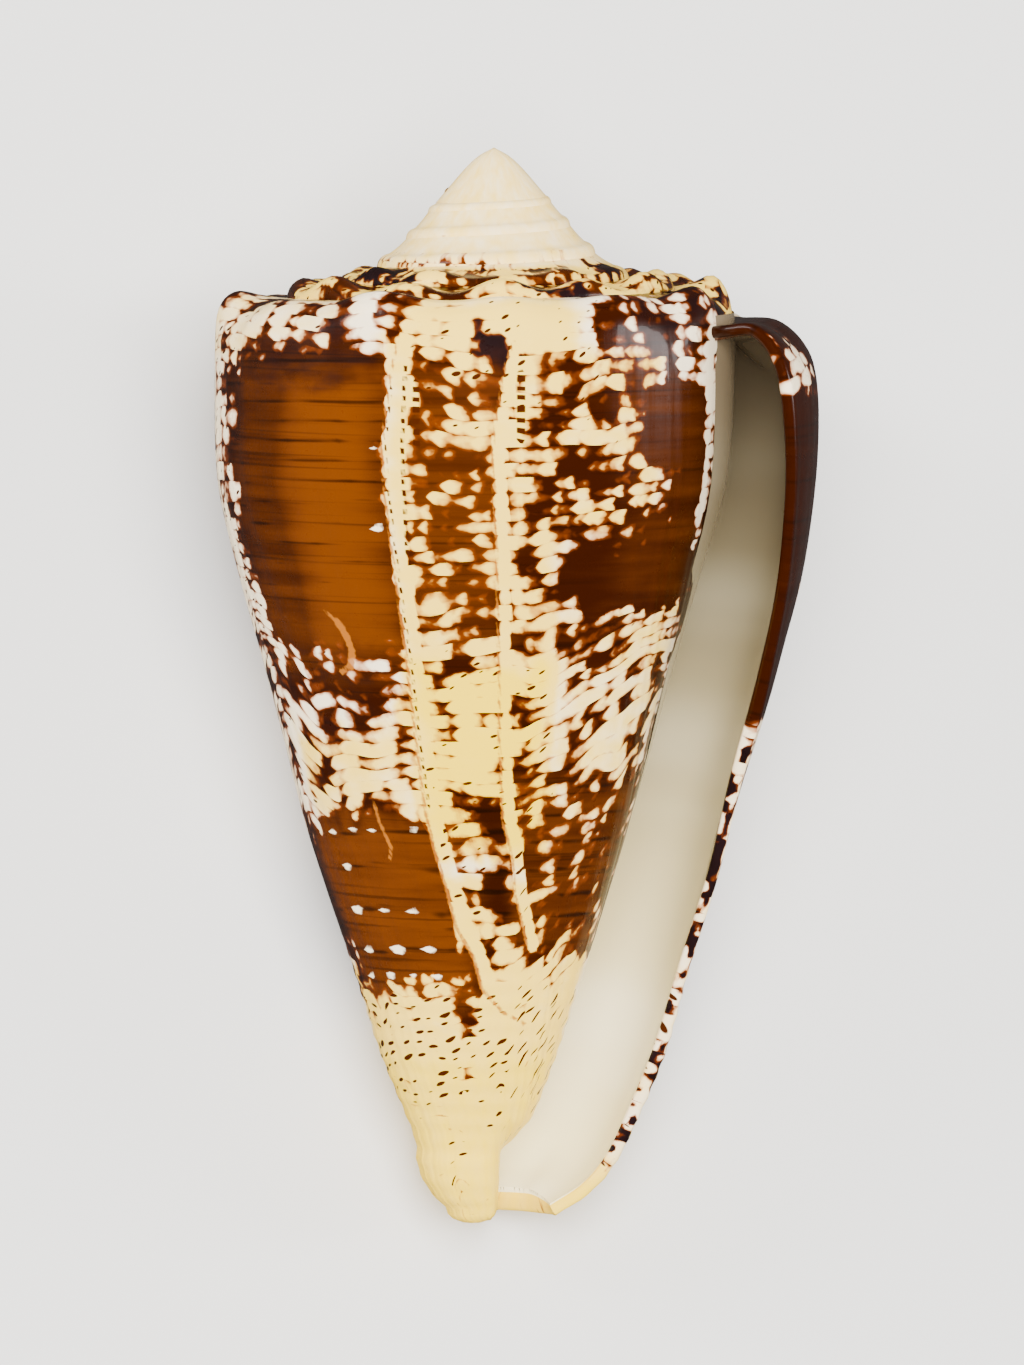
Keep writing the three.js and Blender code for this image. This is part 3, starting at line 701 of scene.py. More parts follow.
@dataclass
class ShellPattern:
    """The pattern laid down with the shell, worked out at each point of the last whorl."""

    FIELD_NAMES = ("white", "lean", "spot", "yellow", "amber", "dark", "ink", "dots", "line", "bars", "tan")
    form: GrowthForm
    spot_seed: int = 20
    warp_seeds: tuple[int, ...] = (21, 22, 23, 24)
    climb: float = 0.065
    front: float = 270.0
    wobble_angle: float = 4.5
    edge_soft: float = 0.8
    band_level: float = 0.6
    base_level: float = 2.4
    full: float = 3.0
    line_soft: float = 0.1
    side_radius: float = 13.0
    right_drift: float = 0.42
    right_start: float = 280.0
    left_drift: float = 0.55
    left_end: float = 214.0
    line_wobble: float = 0.16
    flames_per_whorl: int = 9
    cone_radius: float = 7.3

    def __post_init__(self) -> None:
        """Sets up the noise that makes the edges of patches uneven."""
        self.warps = [LatticeNoise(seed) for seed in self.warp_seeds]

    def warped(self, angle: Array, depth: Array) -> tuple[Array, Array]:
        """Angle and depth pushed about by noise, so that no patch has a straight edge.

        Args:
            angle, depth: places on the last whorl.

        Returns:
            The pushed angle and depth.
        """
        x = angle / self.wobble_angle
        shift = 1.6 * self.warps[0](x, depth / 1.7) + 2.4 * self.warps[1](x / 3, depth / 5)
        rise = 0.35 * self.warps[2](x, depth / 2.2) + 0.3 * self.warps[3](x * 1.7, depth)
        return angle + shift, depth + rise

    def spots(self) -> list[tuple[float, float, float, float]]:
        """Every white spot of the spiral rows as (angle, depth, half length, half height).

        Returns:
            The spots, row by row.
        """
        rng = np.random.default_rng(self.spot_seed)
        found = []
        for row in SPOT_ROWS:
            steps = rng.uniform(0.6, 1.6, 60) * row.spacing
            angles = row.angles[0] + np.cumsum(steps) * math.degrees(1 / side_radius(row.depth))
            for angle in angles[angles < row.angles[1]]:
                size = rng.uniform(0.7, 1.3)
                depth = row.depth + rng.uniform(-0.1, 0.1)
                found.append((angle, depth, row.half_length * size, row.half_height * size))
        return found

    def spot_field(self, angle: Array, depth: Array, radius: Array) -> Array:
        """Distance in mm to the edge of the nearest white spot, above 0 on a spot.

        Args:
            angle, depth, radius: the last whorl's points as grids, with columns along the first axis.

        Returns:
            The distances, in a grid of the same shape.
        """
        reach = np.full(angle.shape, -2.0)
        columns, rows = angle.shape
        for centre, level, half_length, half_height in self.spots():
            row = int(np.argmin(np.abs(depth[columns // 2] - level)))
            column = int(np.clip(np.searchsorted(angle[:, row], centre), 0, columns - 1))
            start = max(0, int(np.searchsorted(depth[column, 30:], level)) + 30 - 6)
            scale = max(radius[column, min(start + 6, rows - 1)], 1.5) * math.pi / 180
            pitch = (angle[1, row] - angle[0, row]) * scale
            wide = int(half_length / max(pitch, 0.02)) + 5
            part = (slice(max(0, column - wide), column + wide + 1), slice(start, min(rows, start + 13)))
            x = (angle[part] - centre) * scale
            y = depth[part] - level
            taper = np.clip(0.62 + 0.38 * x / half_length, 0.12, 1)
            q = (1 - np.hypot(x / half_length, y / (half_height * taper))) * half_height
            reach[part] = np.maximum(reach[part], q)
        return reach

    def whiteness(self, angle: Array, depth: Array, radius: Array) -> Array:
        """How strongly the mantle left the shell white: under -2 it is all brown and over 2 all pale.

        Args:
            angle, depth, radius: places on the last whorl, in degrees and mm.

        Returns:
            The field, from -3 to 3.
        """
        a, d = self.warped(angle, depth)
        band = np.minimum(d - BAND_TOP(a), BAND_FOOT(a) - d)
        base = np.minimum((d - BASE_TOP(a)) / self.edge_soft, self.base_level)
        found = np.maximum(np.minimum(band / self.edge_soft, self.band_level), base)
        for zone in PALE_ZONES + FLAKE_ZONES:
            found = np.maximum(found, np.minimum(zone.reach(a, d, radius) / zone.soft, zone.level))
        found = found + 0.6 * self.warps[1](angle / 3.1, depth / 1.3)
        found = mix(found, -self.full, strongest(BARE_ZONES, a, d, radius))
        for stroke in PALE_STROKES:
            found = np.maximum(found, stroke.reach(angle, depth, radius) / self.line_soft)
        return np.clip(found, -self.full, self.full)

    def lean(self, angle: Array, depth: Array) -> Array:
        """How far, in mm, the spiral rows have drifted towards the spire.

        Args:
            angle, depth: places on the last whorl.

        Returns:
            The drift.
        """
        arc = np.radians(angle) * self.side_radius
        past = arc - math.radians(self.right_start) * self.side_radius
        right = np.maximum(0, past) * smoothstep((depth - 20) / 14)
        before = math.radians(self.left_end) * self.side_radius - arc
        left = np.maximum(0, before) * smoothstep((angle - 176) / 20)
        left = left * smoothstep((depth - 24) / 8) * smoothstep((48 - depth) / 8)
        slow = 0.8 * self.warps[0](arc / 9, depth / 8) + 0.42 * self.warps[2](arc / 2.4, depth / 2.2)
        return self.right_drift * right + self.left_drift * left + slow

    def line_field(self, angle: Array, depth: Array, radius: Array) -> Array:
        """Distance in mm to the edge of the nearest dark spiral line, above 0 on a line.

        Args:
            angle, depth, radius: places on the last whorl, in degrees and mm.

        Returns:
            The distances.
        """
        found = np.full(angle.shape, -1.0)
        wobble = self.line_wobble * self.warps[1](angle / 8, depth / 3)
        for line in DARK_LINES:
            scale = radius * math.pi / 180
            ends = np.minimum(angle - line.angles[0], line.angles[1] - angle) * scale
            reach = np.minimum(line.half_width - np.abs(depth + wobble - line.depth), ends * 0.2)
            found = np.maximum(found, reach)
        return found

    def fields(self, angle: Array, depth: Array, radius: Array) -> dict[str, Array]:
        """All the pattern's fields on the last whorl, by attribute name.

        Args:
            angle, depth, radius: places on the last whorl, in degrees and mm.

        Returns:
            The fields, one grid for each attribute.
        """
        # The marks climb a little towards the spire on the aperture side
        depth = depth + self.climb * radius * np.maximum(0, np.cos(np.radians(angle - self.front)))
        a, d = self.warped(angle, depth)
        bars, tan = (
            np.max([stroke.reach(angle, depth, radius) for stroke in strokes], axis=0)
            for strokes in (BAR_STROKES, TAN_STROKES)
        )
        return {
            "white": self.whiteness(angle, depth, radius),
            "lean": self.lean(angle, depth),
            "spot": self.spot_field(angle, depth, radius),
            "yellow": strongest(YELLOW_ZONES, a, d, radius),
            "amber": strongest(AMBER_ZONES, a, d, radius),
            "dark": strongest(DARK_ZONES, a, d, radius),
            "ink": strongest(INK_ZONES, a, d, radius),
            "dots": strongest(DOT_ZONES, a, d, radius),
            "line": self.line_field(angle, depth, radius),
            "bars": np.clip(bars, -2, 2),
            "tan": np.clip(tan, -2, 2),
        }

    def spire_fields(self, angle: Array, row: Array, radius: Array) -> dict[str, Array]:
        """The pattern's fields on the spire: brown flames on cream, and an ivory cone.

        Args:
            angle, row, radius: places on the spire, in degrees, rows and mm.

        Returns:
            The fields, one grid for each attribute.
        """
        wobble = self.warps[0](angle / 9, row * 1.4) + 0.6 * self.warps[1](angle / 4, row * 2 + 9)
        flames = np.cos(np.radians(angle) * self.flames_per_whorl + 1.2 * self.warps[2](angle / 60, row * 0))
        pale = 0.35 + 0.9 * flames + 0.9 * wobble
        cone = smoothstep((self.cone_radius - radius) / 0.6)
        marks = smoothstep((radius - 5.4) / 1.4)
        pale = mix(pale, self.full - 1.7 * marks, cone)
        purple = smoothstep((self.warps[3](angle / 25, radius * 0.3) - 0.1) * 3)
        flat = np.zeros(angle.shape)
        return {
            "white": pale,
            "lean": flat,
            "spot": flat - 2,
            "yellow": mix(flat + 0.5, flat + 0.28, cone),
            "amber": flat + 0.25,
            "dark": purple * (1 - cone) * 0.9,
            "ink": flat,
            "dots": mix(flat + 0.3, flat, cone),
            "line": flat - 1,
            "bars": flat - 2,
            "tan": flat - 2,
        }


def profile_place(radius: Array, depth: Array, start: int) -> Array:
    """Distance in mm along the outline, which equals the depth at the outline's point number start.

    Args:
        radius, depth: the outlines, with their points along the second axis.
        start: the point where the distance equals the depth.

    Returns:
        The distances.
    """
    steps = np.hypot(np.diff(radius, axis=1), np.diff(depth, axis=1))
    along = np.concatenate([np.zeros((len(radius), 1)), np.cumsum(steps, axis=1)], axis=1)
    return along - along[:, start : start + 1] + depth[:, start : start + 1]


def strongest(zones: tuple[Zone, ...], angle: Array, depth: Array, radius: Array) -> Array:
    """The largest weight that any of the zones has at each point.

    Args:
        zones: the patches.
        angle, depth, radius: places on the last whorl, in degrees and mm.

    Returns:
        The weights.
    """
    found = np.zeros(angle.shape)
    for zone in zones:
        found = np.maximum(found, zone.weight(angle, depth, radius))
    return found


class Finish(Enum):
    """The material slots of the shell's mesh, in order."""

    OUTSIDE = 0
    PORCELAIN = 1


class InnerFace(Enum):
    """The two smooth faces inside the aperture, by the name of their sheet."""

    WALL = "inner_wall"
    CORE = "core"


class Sheet:
    """A grid of faces wrapped onto the growth form."""

    def __init__(self, name: str, columns: int, rows: int, finish: Finish) -> None:
        """Adds a flat grid primitive whose points are wrapped later, with u along x and v along y.

        Args:
            name: the sheet's name.
            columns, rows: how many faces it has each way.
            finish: the finish of its faces.
        """
        bpy.ops.object.select_all(action="DESELECT")
        bpy.ops.mesh.primitive_grid_add(x_subdivisions=columns, y_subdivisions=rows, size=2)
        self.piece = bpy.context.active_object
        self.piece.name = name
        self.mesh = self.piece.data
        for slot in Finish:
            self.mesh.materials.append(bpy.data.materials[slot.name.lower()])
        faces = np.full(len(self.mesh.polygons), finish.value, dtype=np.int32)
        self.mesh.polygons.foreach_set("material_index", faces)
        flat = np.empty(len(self.mesh.vertices) * 3)
        self.mesh.vertices.foreach_get("co", flat)
        u, v = (flat.reshape(-1, 3)[:, :2].T + 1) / 2
        self.us = np.unique(np.round(u, 6))
        self.vs = np.unique(np.round(v, 6))
        self.numbers = np.lexsort((v, np.round(u, 6))).reshape(len(self.us), len(self.vs))

    def wrap(self, points: Array, fields: dict[str, Array]) -> bpy.types.Object:
        """Moves the grid's vertices to their places and stores the fields as attributes.

        Args:
            points: the places of the vertices, as a grid.
            fields: the attributes' values, as grids.

        Returns:
            The wrapped sheet.
        """
        flat = np.empty((self.numbers.size, 3))
        flat[self.numbers.ravel()] = points.reshape(-1, 3)
        # The back is worn flat where the shell lies on it
        flat[:, 2] = np.maximum(flat[:, 2], 0)
        self.mesh.vertices.foreach_set("co", flat.ravel())
        for name, values in fields.items():
            kind, key, width = ("FLOAT_VECTOR", "vector", (3,)) if values.ndim == 3 else ("FLOAT", "value", ())
            attribute = self.mesh.attributes.new(name, kind, "POINT")
            ordered = np.empty((self.numbers.size, *width))
            ordered[self.numbers.ravel()] = values.reshape(ordered.shape)
            attribute.data.foreach_set(key, ordered.ravel())
        self.mesh.update()
        return self.piece


@dataclass
class ConeShell:
    """The whole shell, as one piece: its outside, spire, tip, lip and the inside that shows in the aperture."""

    form: GrowthForm
    pattern: ShellPattern
    columns: int = 392
    rows: int = 176
    overlap: float = 0.1
    spire_turns: float = 5.6
    spire_columns: int = 820
    spire_rows: int = 12
    spire_end_row: float = 4.5
    inner_columns: int = 90
    inner_rows: int = 44
    inner_turn: float = 4.4
    edge_steps: int = 8
    tip_columns: int = 64
    tip_rows: int = 12
    tip_radius: float = 3.5
    tip_lift: float = 0.02
    core_tuck: float = 0.3
    edge_bulge: float = 0.9
    widest_bulge: float = 1.2
    edge_width: float = 1.4
    mottled: tuple[float, float] = (34.0, 64.5)
    mottle_size: tuple[float, float] = (0.5, 0.45)
    merge_distance: float = 0.00001
    crease: float = 50.0

    def row_places(self) -> Array:
        """Rows of the outline, spaced evenly along the wall.

        Returns:
            The row numbers, which aren't whole.
        """
        fine = np.linspace(0, RIM, 2000)
        radius, depth = self.form.wall(np.full_like(fine, math.pi), fine)
        along = np.concatenate([[0], np.cumsum(np.hypot(np.diff(radius), np.diff(depth)))])
        return np.interp(np.linspace(0, along[-1], self.rows + 1), along, fine)

    def outside(self) -> bpy.types.Object:
        """The outer face of the last whorl, from its suture to the narrow end.

        Returns:
            The wrapped sheet.
        """
        sheet = Sheet("outside", self.columns, self.rows, Finish.OUTSIDE)
        rows = np.interp(sheet.vs, np.linspace(0, 1, self.rows + 1), self.row_places())
        back, row = np.meshgrid(sheet.us * (TURN + self.overlap), rows, indexing="ij")
        radius, depth = self.form.wall(back, row)
        radius = radius + self.form.surface_relief(back, row, depth)
        angle = self.form.angle(back, depth)
        fields = self.pattern.fields(angle, depth, radius)
        along = profile_place(radius, depth, int(np.searchsorted(rows, LANDING + 1)))
        fields["growth"] = np.stack([np.radians(angle), along, radius], -1)
        return sheet.wrap(self.form.place(radius, depth, back), fields)

    def spire(self) -> bpy.types.Object:
        """The tops of the older whorls.

        Returns:
            The wrapped sheet.
        """
        sheet = Sheet("spire", self.spire_columns, self.spire_rows, Finish.OUTSIDE)
        turns = TURN + sheet.us * self.spire_turns * TURN
        back, row = np.meshgrid(turns, sheet.vs * self.spire_end_row, indexing="ij")
        radius, depth = self.form.spire_whorl(back, row)
        angle = self.form.angle(back, depth)
        fields = self.pattern.spire_fields(angle, row, radius)
        fields["growth"] = np.stack([np.radians(angle), profile_place(radius, depth, 0), radius], -1)
        return sheet.wrap(self.form.place(radius, depth, back), fields)

    def tip(self) -> bpy.types.Object:
        """The smooth rounded tip of the spire.

        Returns:
            The wrapped sheet.
        """
        sheet = Sheet("tip", self.tip_columns, self.tip_rows, Finish.OUTSIDE)
        back, share = np.meshgrid(sheet.us * TURN, sheet.vs, indexing="ij")
        radius = self.tip_radius * share
        depth = self.form.spire_profile(radius) - self.tip_lift
        angle = self.form.angle(back, depth)
        fields = self.pattern.spire_fields(angle, share, radius)
        fields["growth"] = np.stack([np.radians(angle), depth + 0.2 * radius, radius], -1)
        return sheet.wrap(self.form.place(radius, depth, back), fields)

    def edge(self) -> bpy.types.Object:
        """The rounded edge of the wall, along the lip and round the narrow end.

        Returns:
            The wrapped sheet.
        """
        rows = self.row_places()
        backs = np.linspace(0, TURN + self.overlap, self.columns + 1)
        back = np.concatenate([np.zeros(len(rows)), backs[1:]])
        row = np.concatenate([rows, np.full(len(backs) - 1, RIM)])
        sheet = Sheet("edge", len(back) - 1, self.edge_steps, Finish.PORCELAIN)
        outer_radius, outer_depth = self.form.wall(back, row)
        outer_radius = outer_radius + self.form.surface_relief(back, row, outer_depth)
        outer = self.form.place(outer_radius, outer_depth, back)
        inner = self.form.place(*self.form.inner_face(back, row), back)
        ahead = self.form.place(outer_radius, outer_depth, back - 0.02) - outer
        ahead /= np.linalg.norm(ahead, axis=1, keepdims=True)
        down = np.array(self.form.turn @ Vector((0, 0, -1)))
        corner = smoothstep((row - RIM + 1.5) / 1.5)[:, None] * smoothstep(back / 0.25 + 0.5)[:, None]
        outward = mix(ahead, down, corner)
        middle = (outer + inner) / 2
        half = (outer - inner) / 2
        width = np.linalg.norm(half, axis=1, keepdims=True)
        bulge = width * outward * self.edge_bulge
        bulge = bulge * np.clip(self.widest_bulge * MM / (width + 1e-9), 0, 1)
        turned = (sheet.vs * math.pi)[None, :, None]
        points = middle[:, None] + half[:, None] * np.cos(turned) + bulge[:, None] * np.sin(turned)
        columns = (self.form.angle(back, outer_depth), outer_depth, outer_radius)
        angle, depth, radius = (np.repeat(column[:, None], len(sheet.vs), 1) for column in columns)
        fields = self.pattern.fields(angle, depth, radius) | {"spot": np.full(angle.shape, -2.0)}
        across = self.edge_width * np.repeat(sheet.vs[None, :], len(back), 0)
        self.mottle(fields, depth, across, back < 0.6)
        fields["growth"] = np.stack([np.radians(angle) + across / np.maximum(radius, 4), depth, radius], -1)
        # All but the last strip of faces, beside the porcelain, have the outside's finish
        steps = np.empty(sheet.numbers.size, dtype=int)
        steps[sheet.numbers.ravel()] = np.tile(np.arange(len(sheet.vs)), len(back))
        for face in sheet.mesh.polygons:
            if max(steps[v] for v in face.vertices) < self.edge_steps:
                face.material_index = Finish.OUTSIDE.value
        return sheet.wrap(points, fields)

    def mottle(self, fields: dict[str, Array], depth: Array, across: Array, on_lip: Array) -> None:
        """Lays small black-brown and white marks on the lower lip, which don't reach across its edge.

        Args:
            fields: the edge's pattern, which is changed.
            depth: depth in mm.
            across: distance across the edge in mm.
            on_lip: which columns are on the lip.
        """
        top, foot = self.mottled
        lower = smoothstep((depth - top) / 3) * smoothstep((foot - depth) / 4) * on_lip[:, None]
        wide, high = self.mottle_size
        marks = 0.5 + 2.4 * self.pattern.warps[3](across / wide + 9, depth / high)
        for name, value in (("white", marks), ("dark", 0.95), ("yellow", 0.15)):
            fields[name] = mix(fields[name], value, lower)

    def porcelain(self, face: InnerFace) -> bpy.types.Object:
        """A smooth inner sheet.

        Args:
            face: which surface it follows: the inner face of the last whorl's wall, or the side of the older whorl
                that is the core of the aperture.

        Returns:
            The wrapped sheet.
        """
        sheet = Sheet(face.value, self.inner_columns, self.inner_rows, Finish.PORCELAIN)
        if face is InnerFace.WALL:
            turns, surface, first_row = sheet.us**1.5 * (TURN + self.overlap), self.form.inner_face, 0.0
        else:
            turns, surface = TURN + sheet.us * self.inner_turn, self.form.inner_whorl
            first_row = LANDING - self.core_tuck
        back, row = np.meshgrid(turns, mix(first_row, RIM, sheet.vs), indexing="ij")
        radius, depth = surface(back, row)
        angle = self.form.angle(back, depth)
        growth = np.stack([np.radians(angle), depth, radius], -1)
        fields = {"growth": growth, "margin": back * np.maximum(radius, 2)}
        return sheet.wrap(self.form.place(radius, depth, back), fields)

    def build(self) -> bpy.types.Object:
        """Builds all the sheets, joins them into one mesh and smooths it.

        Returns:
            The finished shell.
        """
        pieces = [
            self.outside(),
            self.spire(),
            self.tip(),
            self.edge(),
            self.porcelain(InnerFace.WALL),
            self.porcelain(InnerFace.CORE),
        ]
        bpy.ops.object.select_all(action="DESELECT")
        for piece in pieces:
            piece.select_set(True)
        shell = pieces[0]
        bpy.context.view_layer.objects.active = shell
        bpy.ops.object.join()
        shell.name = "cone_shell"
        shell.data.name = "cone_shell"
        bpy.ops.object.mode_set(mode="EDIT")
        bpy.ops.mesh.select_all(action="SELECT")
        bpy.ops.mesh.remove_doubles(threshold=self.merge_distance)
        bpy.ops.mesh.normals_make_consistent(inside=False)
        bpy.ops.object.mode_set(mode="OBJECT")
        bpy.ops.object.shade_smooth_by_angle(angle=math.radians(self.crease))
        bpy.ops.object.select_all(action="DESELECT")
        return shell


class NodeSheet:
    """A material's node tree while it is built."""

    def __init__(self, name: str) -> None:
        """Starts a material with its Principled shader.

        Args:
            name: the material's name.
        """
        self.material = bpy.data.materials.new(name)
        self.material.use_nodes = True
        self.tree = self.material.node_tree
        self.shader = self.tree.nodes["Principled BSDF"]

    def add(
        self, kind: str, *inputs: object, output: int | str = 0, named: dict | None = None, **settings: object
    ) -> Socket:
        """Adds a node with its settings and links.

        Args:
            kind: the node's type, without its "ShaderNode" prefix.
            inputs: values or sockets for its first inputs, in order.
            output: the output wanted.
            named: values or sockets for its other inputs, by name or number.
            settings: the node's own properties.

        Returns:
            That output socket.
        """
        node = self.tree.nodes.new("ShaderNode" + kind)
        for name, value in settings.items():
            setattr(node, name, value)
        for key, value in [*enumerate(inputs), *(named or {}).items()]:
            self.feed(node.inputs[key], value)
        return node.outputs[output]

    def feed(self, socket: Socket, value: object) -> None:
        """Links a socket into another, or sets its value.

        Args:
            socket: the input.
            value: a socket to link, or a plain value.
        """
        if isinstance(value, Socket):
            self.tree.links.new(value, socket)
        else:
            socket.default_value = value

    def finish(self, settings: dict[str, object]) -> bpy.types.Material:
        """Sets the shader's sockets by name and hands over the material.

        Args:
            settings: values or sockets for the shader's inputs.

        Returns:
            The material.
        """
        for name, value in settings.items():
            self.feed(self.shader.inputs[name], value)
        return self.material


class OutsideSheet(NodeSheet):
    """The outside's node tree, with the growth coordinates and the pattern's fields at hand."""

    def __init__(self) -> None:
        """Reads the attributes that the sheets of the shell carry."""
        super().__init__("outside")
        growth = self.add("Attribute", output="Vector", attribute_name="growth")
        self.angle = self.add("SeparateXYZ", growth)
        self.depth = self.add("SeparateXYZ", growth, output=1)
        self.arc = self.add("Math", self.angle, MEAN_RADIUS, operation="MULTIPLY")
        self.fields = {
            name: self.add("Attribute", output="Fac", attribute_name=name) for name in ShellPattern.FIELD_NAMES
        }

    def streak(
        self, length: float, height: float, detail: float, layer: float, gain: float = 1.0, middle: float = 0.5
    ) -> Socket:
        """Noise drawn out along the spiral.

        Args:
            length, height: size of its marks in mm, along the spiral and across it.
            detail: octaves of finer noise.
            layer: which of the independent layers of noise to read.
            gain: how much the noise is stretched about its mean.
            middle: what the mean becomes.

        Returns:
            The noise.
        """
        x = self.add("Math", self.arc, length, operation="DIVIDE")
        y = self.add("Math", self.depth, height, operation="DIVIDE")
        place = self.add("CombineXYZ", x, y, layer)
        noise = self.add("TexNoise", place, named={"Scale": 1.0, "Detail": detail, "Roughness": 0.55})
        return self.add("Math", noise, gain, middle - gain / 2, operation="MULTIPLY_ADD")


@dataclass(frozen=True)
class OutsideFinish:
    """The outside of a sea snail's shell: aragonite laid down in rows by the edge of the animal's mantle."""

    # Crossed needles of aragonite under a thin clear layer: to the eye a glassy polish with some depth, pigment
    # just under the surface that is drawn out along the rows, and fine growth lines that break up the highlights.
    mahogany: str = "280A00"
    amber: str = "602C00"
    black_brown: str = "0C0401"
    purple: str = "1E1013"
    cream: str = "FFD452"
    white: str = "FFEBC6"
    yellow: str = "FFD400"
    edge_tint: str = "A85410"
    thinned: str = "7C3402"
    scar: str = "A45E14"
    dot: str = "3A1400"
    row_pitch: float = 0.95
    drop_length: float = 1.2
    bar_pitch: float = 0.62
    dot_pitch: float = 0.8
    dot_spacing: float = 1.05
    roughness: float = 0.3
    specular: float = 0.1
    coat: float = 0.12
    coat_roughness: float = 0.07
    relief: float = 0.0001

    def local_radius(self, sheet: OutsideSheet, row: Socket, pitch: float) -> Socket:
        """Rough radius in mm of the whorl at a numbered row, which turns an angle into a length."""
        (top, wide), (foot, narrow) = TOP_AND_FOOT
        return sheet.add("MapRange", row, top / pitch, foot / pitch, wide, narrow)

    def drops(self, sheet: OutsideSheet, slow: Socket, fine: Socket) -> Socket:
        """White drops in rows, pointed at the end that grew first.

        Args:
            sheet: the node tree.
            slow: coarse noise that gathers the drops.
            fine: fine noise for their edges.

        Returns:
            How far a place is inside the pale shell, from under 0 on the brown to over 1.
        """
        add = sheet.add
        drifted = add("Math", sheet.depth, sheet.fields["lean"], operation="ADD")
        lane = add("Math", drifted, self.row_pitch, operation="DIVIDE")
        row = add("Math", lane, operation="FLOOR")
        beat = add("Math", lane, operation="FRACT")
        off = add("Math", add("Math", beat, 0.5, operation="SUBTRACT"), operation="ABSOLUTE")
        along = add("Math", sheet.angle, self.local_radius(sheet, row, self.row_pitch), operation="MULTIPLY")
        swept = add("Math", off, -0.7, along, operation="MULTIPLY_ADD")
        x = add("Math", swept, self.drop_length, operation="DIVIDE")
        y = add("Math", row, 3.37, operation="MULTIPLY")
        noise = add("TexNoise", add("CombineXYZ", x, y, 1.7), named={"Scale": 1.0, "Detail": 1.0})
        drops = add("Math", noise, 5.4, -2.7, operation="MULTIPLY_ADD")
        waist = add("Math", add("Math", off, 2.0, operation="POWER"), -3.4, operation="MULTIPLY")
        found = add("Math", drops, slow, operation="ADD")
        found = add("Math", found, add("Math", waist, fine, operation="ADD"), operation="ADD")
        return add("Math", sheet.fields["white"], found, operation="ADD")

    def brown(self, sheet: OutsideSheet, pale_reach: Socket) -> Socket:
        """The pigment: mahogany to amber, in streaks and dark lines, thinned to orange beside the pale shell.

        Args:
            sheet: the node tree.
            pale_reach: how far a place is inside the pale shell.

        Returns:
            The colour.
        """
        add, fields, black_brown = sheet.add, sheet.fields, linear(self.black_brown)
        tone = add("Math", fields["amber"], sheet.streak(14.0, 1.3, 4.0, 9.0, 0.9, 0.0), operation="ADD")
        tone = add("MapRange", tone, 0.0, 1.0, **SMOOTH)
        brown = add("Mix", tone, named={6: linear(self.mahogany), 7: linear(self.amber)}, **RGBA)
        threads = add("MapRange", sheet.streak(30.0, 0.34, 1.0, 17.0), 0.56, 0.7, **SMOOTH)
        threads = add("Math", threads, 0.45, operation="MULTIPLY")
        brown = add("Mix", threads, named={6: brown, 7: black_brown}, **RGBA)
        lines = add("Math", fields["line"], sheet.streak(9.0, 0.6, 2.0, 19.0, 0.36, -0.01), operation="ADD")
        lines = add("Math", add("MapRange", lines, -0.08, 0.1, **SMOOTH), 0.72, operation="MULTIPLY")
        brown = add("Mix", lines, named={6: brown, 7: black_brown}, **RGBA)
        shade = add("Math", fields["dark"], sheet.streak(2.5, 1.2, 3.0, 23.0, 0.8, -0.06), operation="ADD")
        shade = add("MapRange", shade, 0.15, 0.85, **SMOOTH)
        patches = sheet.streak(3.0, 1.5, 2.0, 29.0)
        dusk = add("Mix", patches, named={6: black_brown, 7: linear(self.purple)}, **RGBA)
        brown = add("Mix", shade, named={6: brown, 7: dusk}, **RGBA)
        thinned = add("MapRange", pale_reach, -0.7, 0.1, **SMOOTH)
        thinned = add("Math", thinned, 0.55, operation="MULTIPLY")
        return add("Mix", thinned, named={6: brown, 7: linear(self.thinned)}, **RGBA)

    def light(self, sheet: OutsideSheet, pale_reach: Socket) -> Socket:
        """The pale shell: pinkish white to yellow cream, with a tan rim and small brown dots.

        Args:
            sheet: the node tree.
            pale_reach: how far a place is inside the pale shell.

        Returns:
            The colour.
        """
        add = sheet.add
        hue = add("Math", sheet.fields["yellow"], sheet.streak(3.0, 1.5, 2.0, 31.0, 0.5, 0.0), operation="ADD")
        creamy = add("MapRange", hue, 0.0, 0.5, **SMOOTH)
        light = add("Mix", creamy, named={6: linear(self.white), 7: linear(self.cream)}, **RGBA)
        golden = add("MapRange", hue, 0.5, 1.0, **SMOOTH)
        light = add("Mix", golden, named={6: light, 7: linear(self.yellow)}, **RGBA)
        rim = add("MapRange", pale_reach, 0.0, 0.8, **SMOOTH)
        rim = add("Math", rim, -0.75, 0.75, operation="MULTIPLY_ADD")
        light = add("Mix", rim, named={6: light, 7: linear(self.edge_tint)}, **RGBA)
        return add("Mix", self.dots(sheet), named={6: light, 7: linear(self.dot)}, **RGBA)

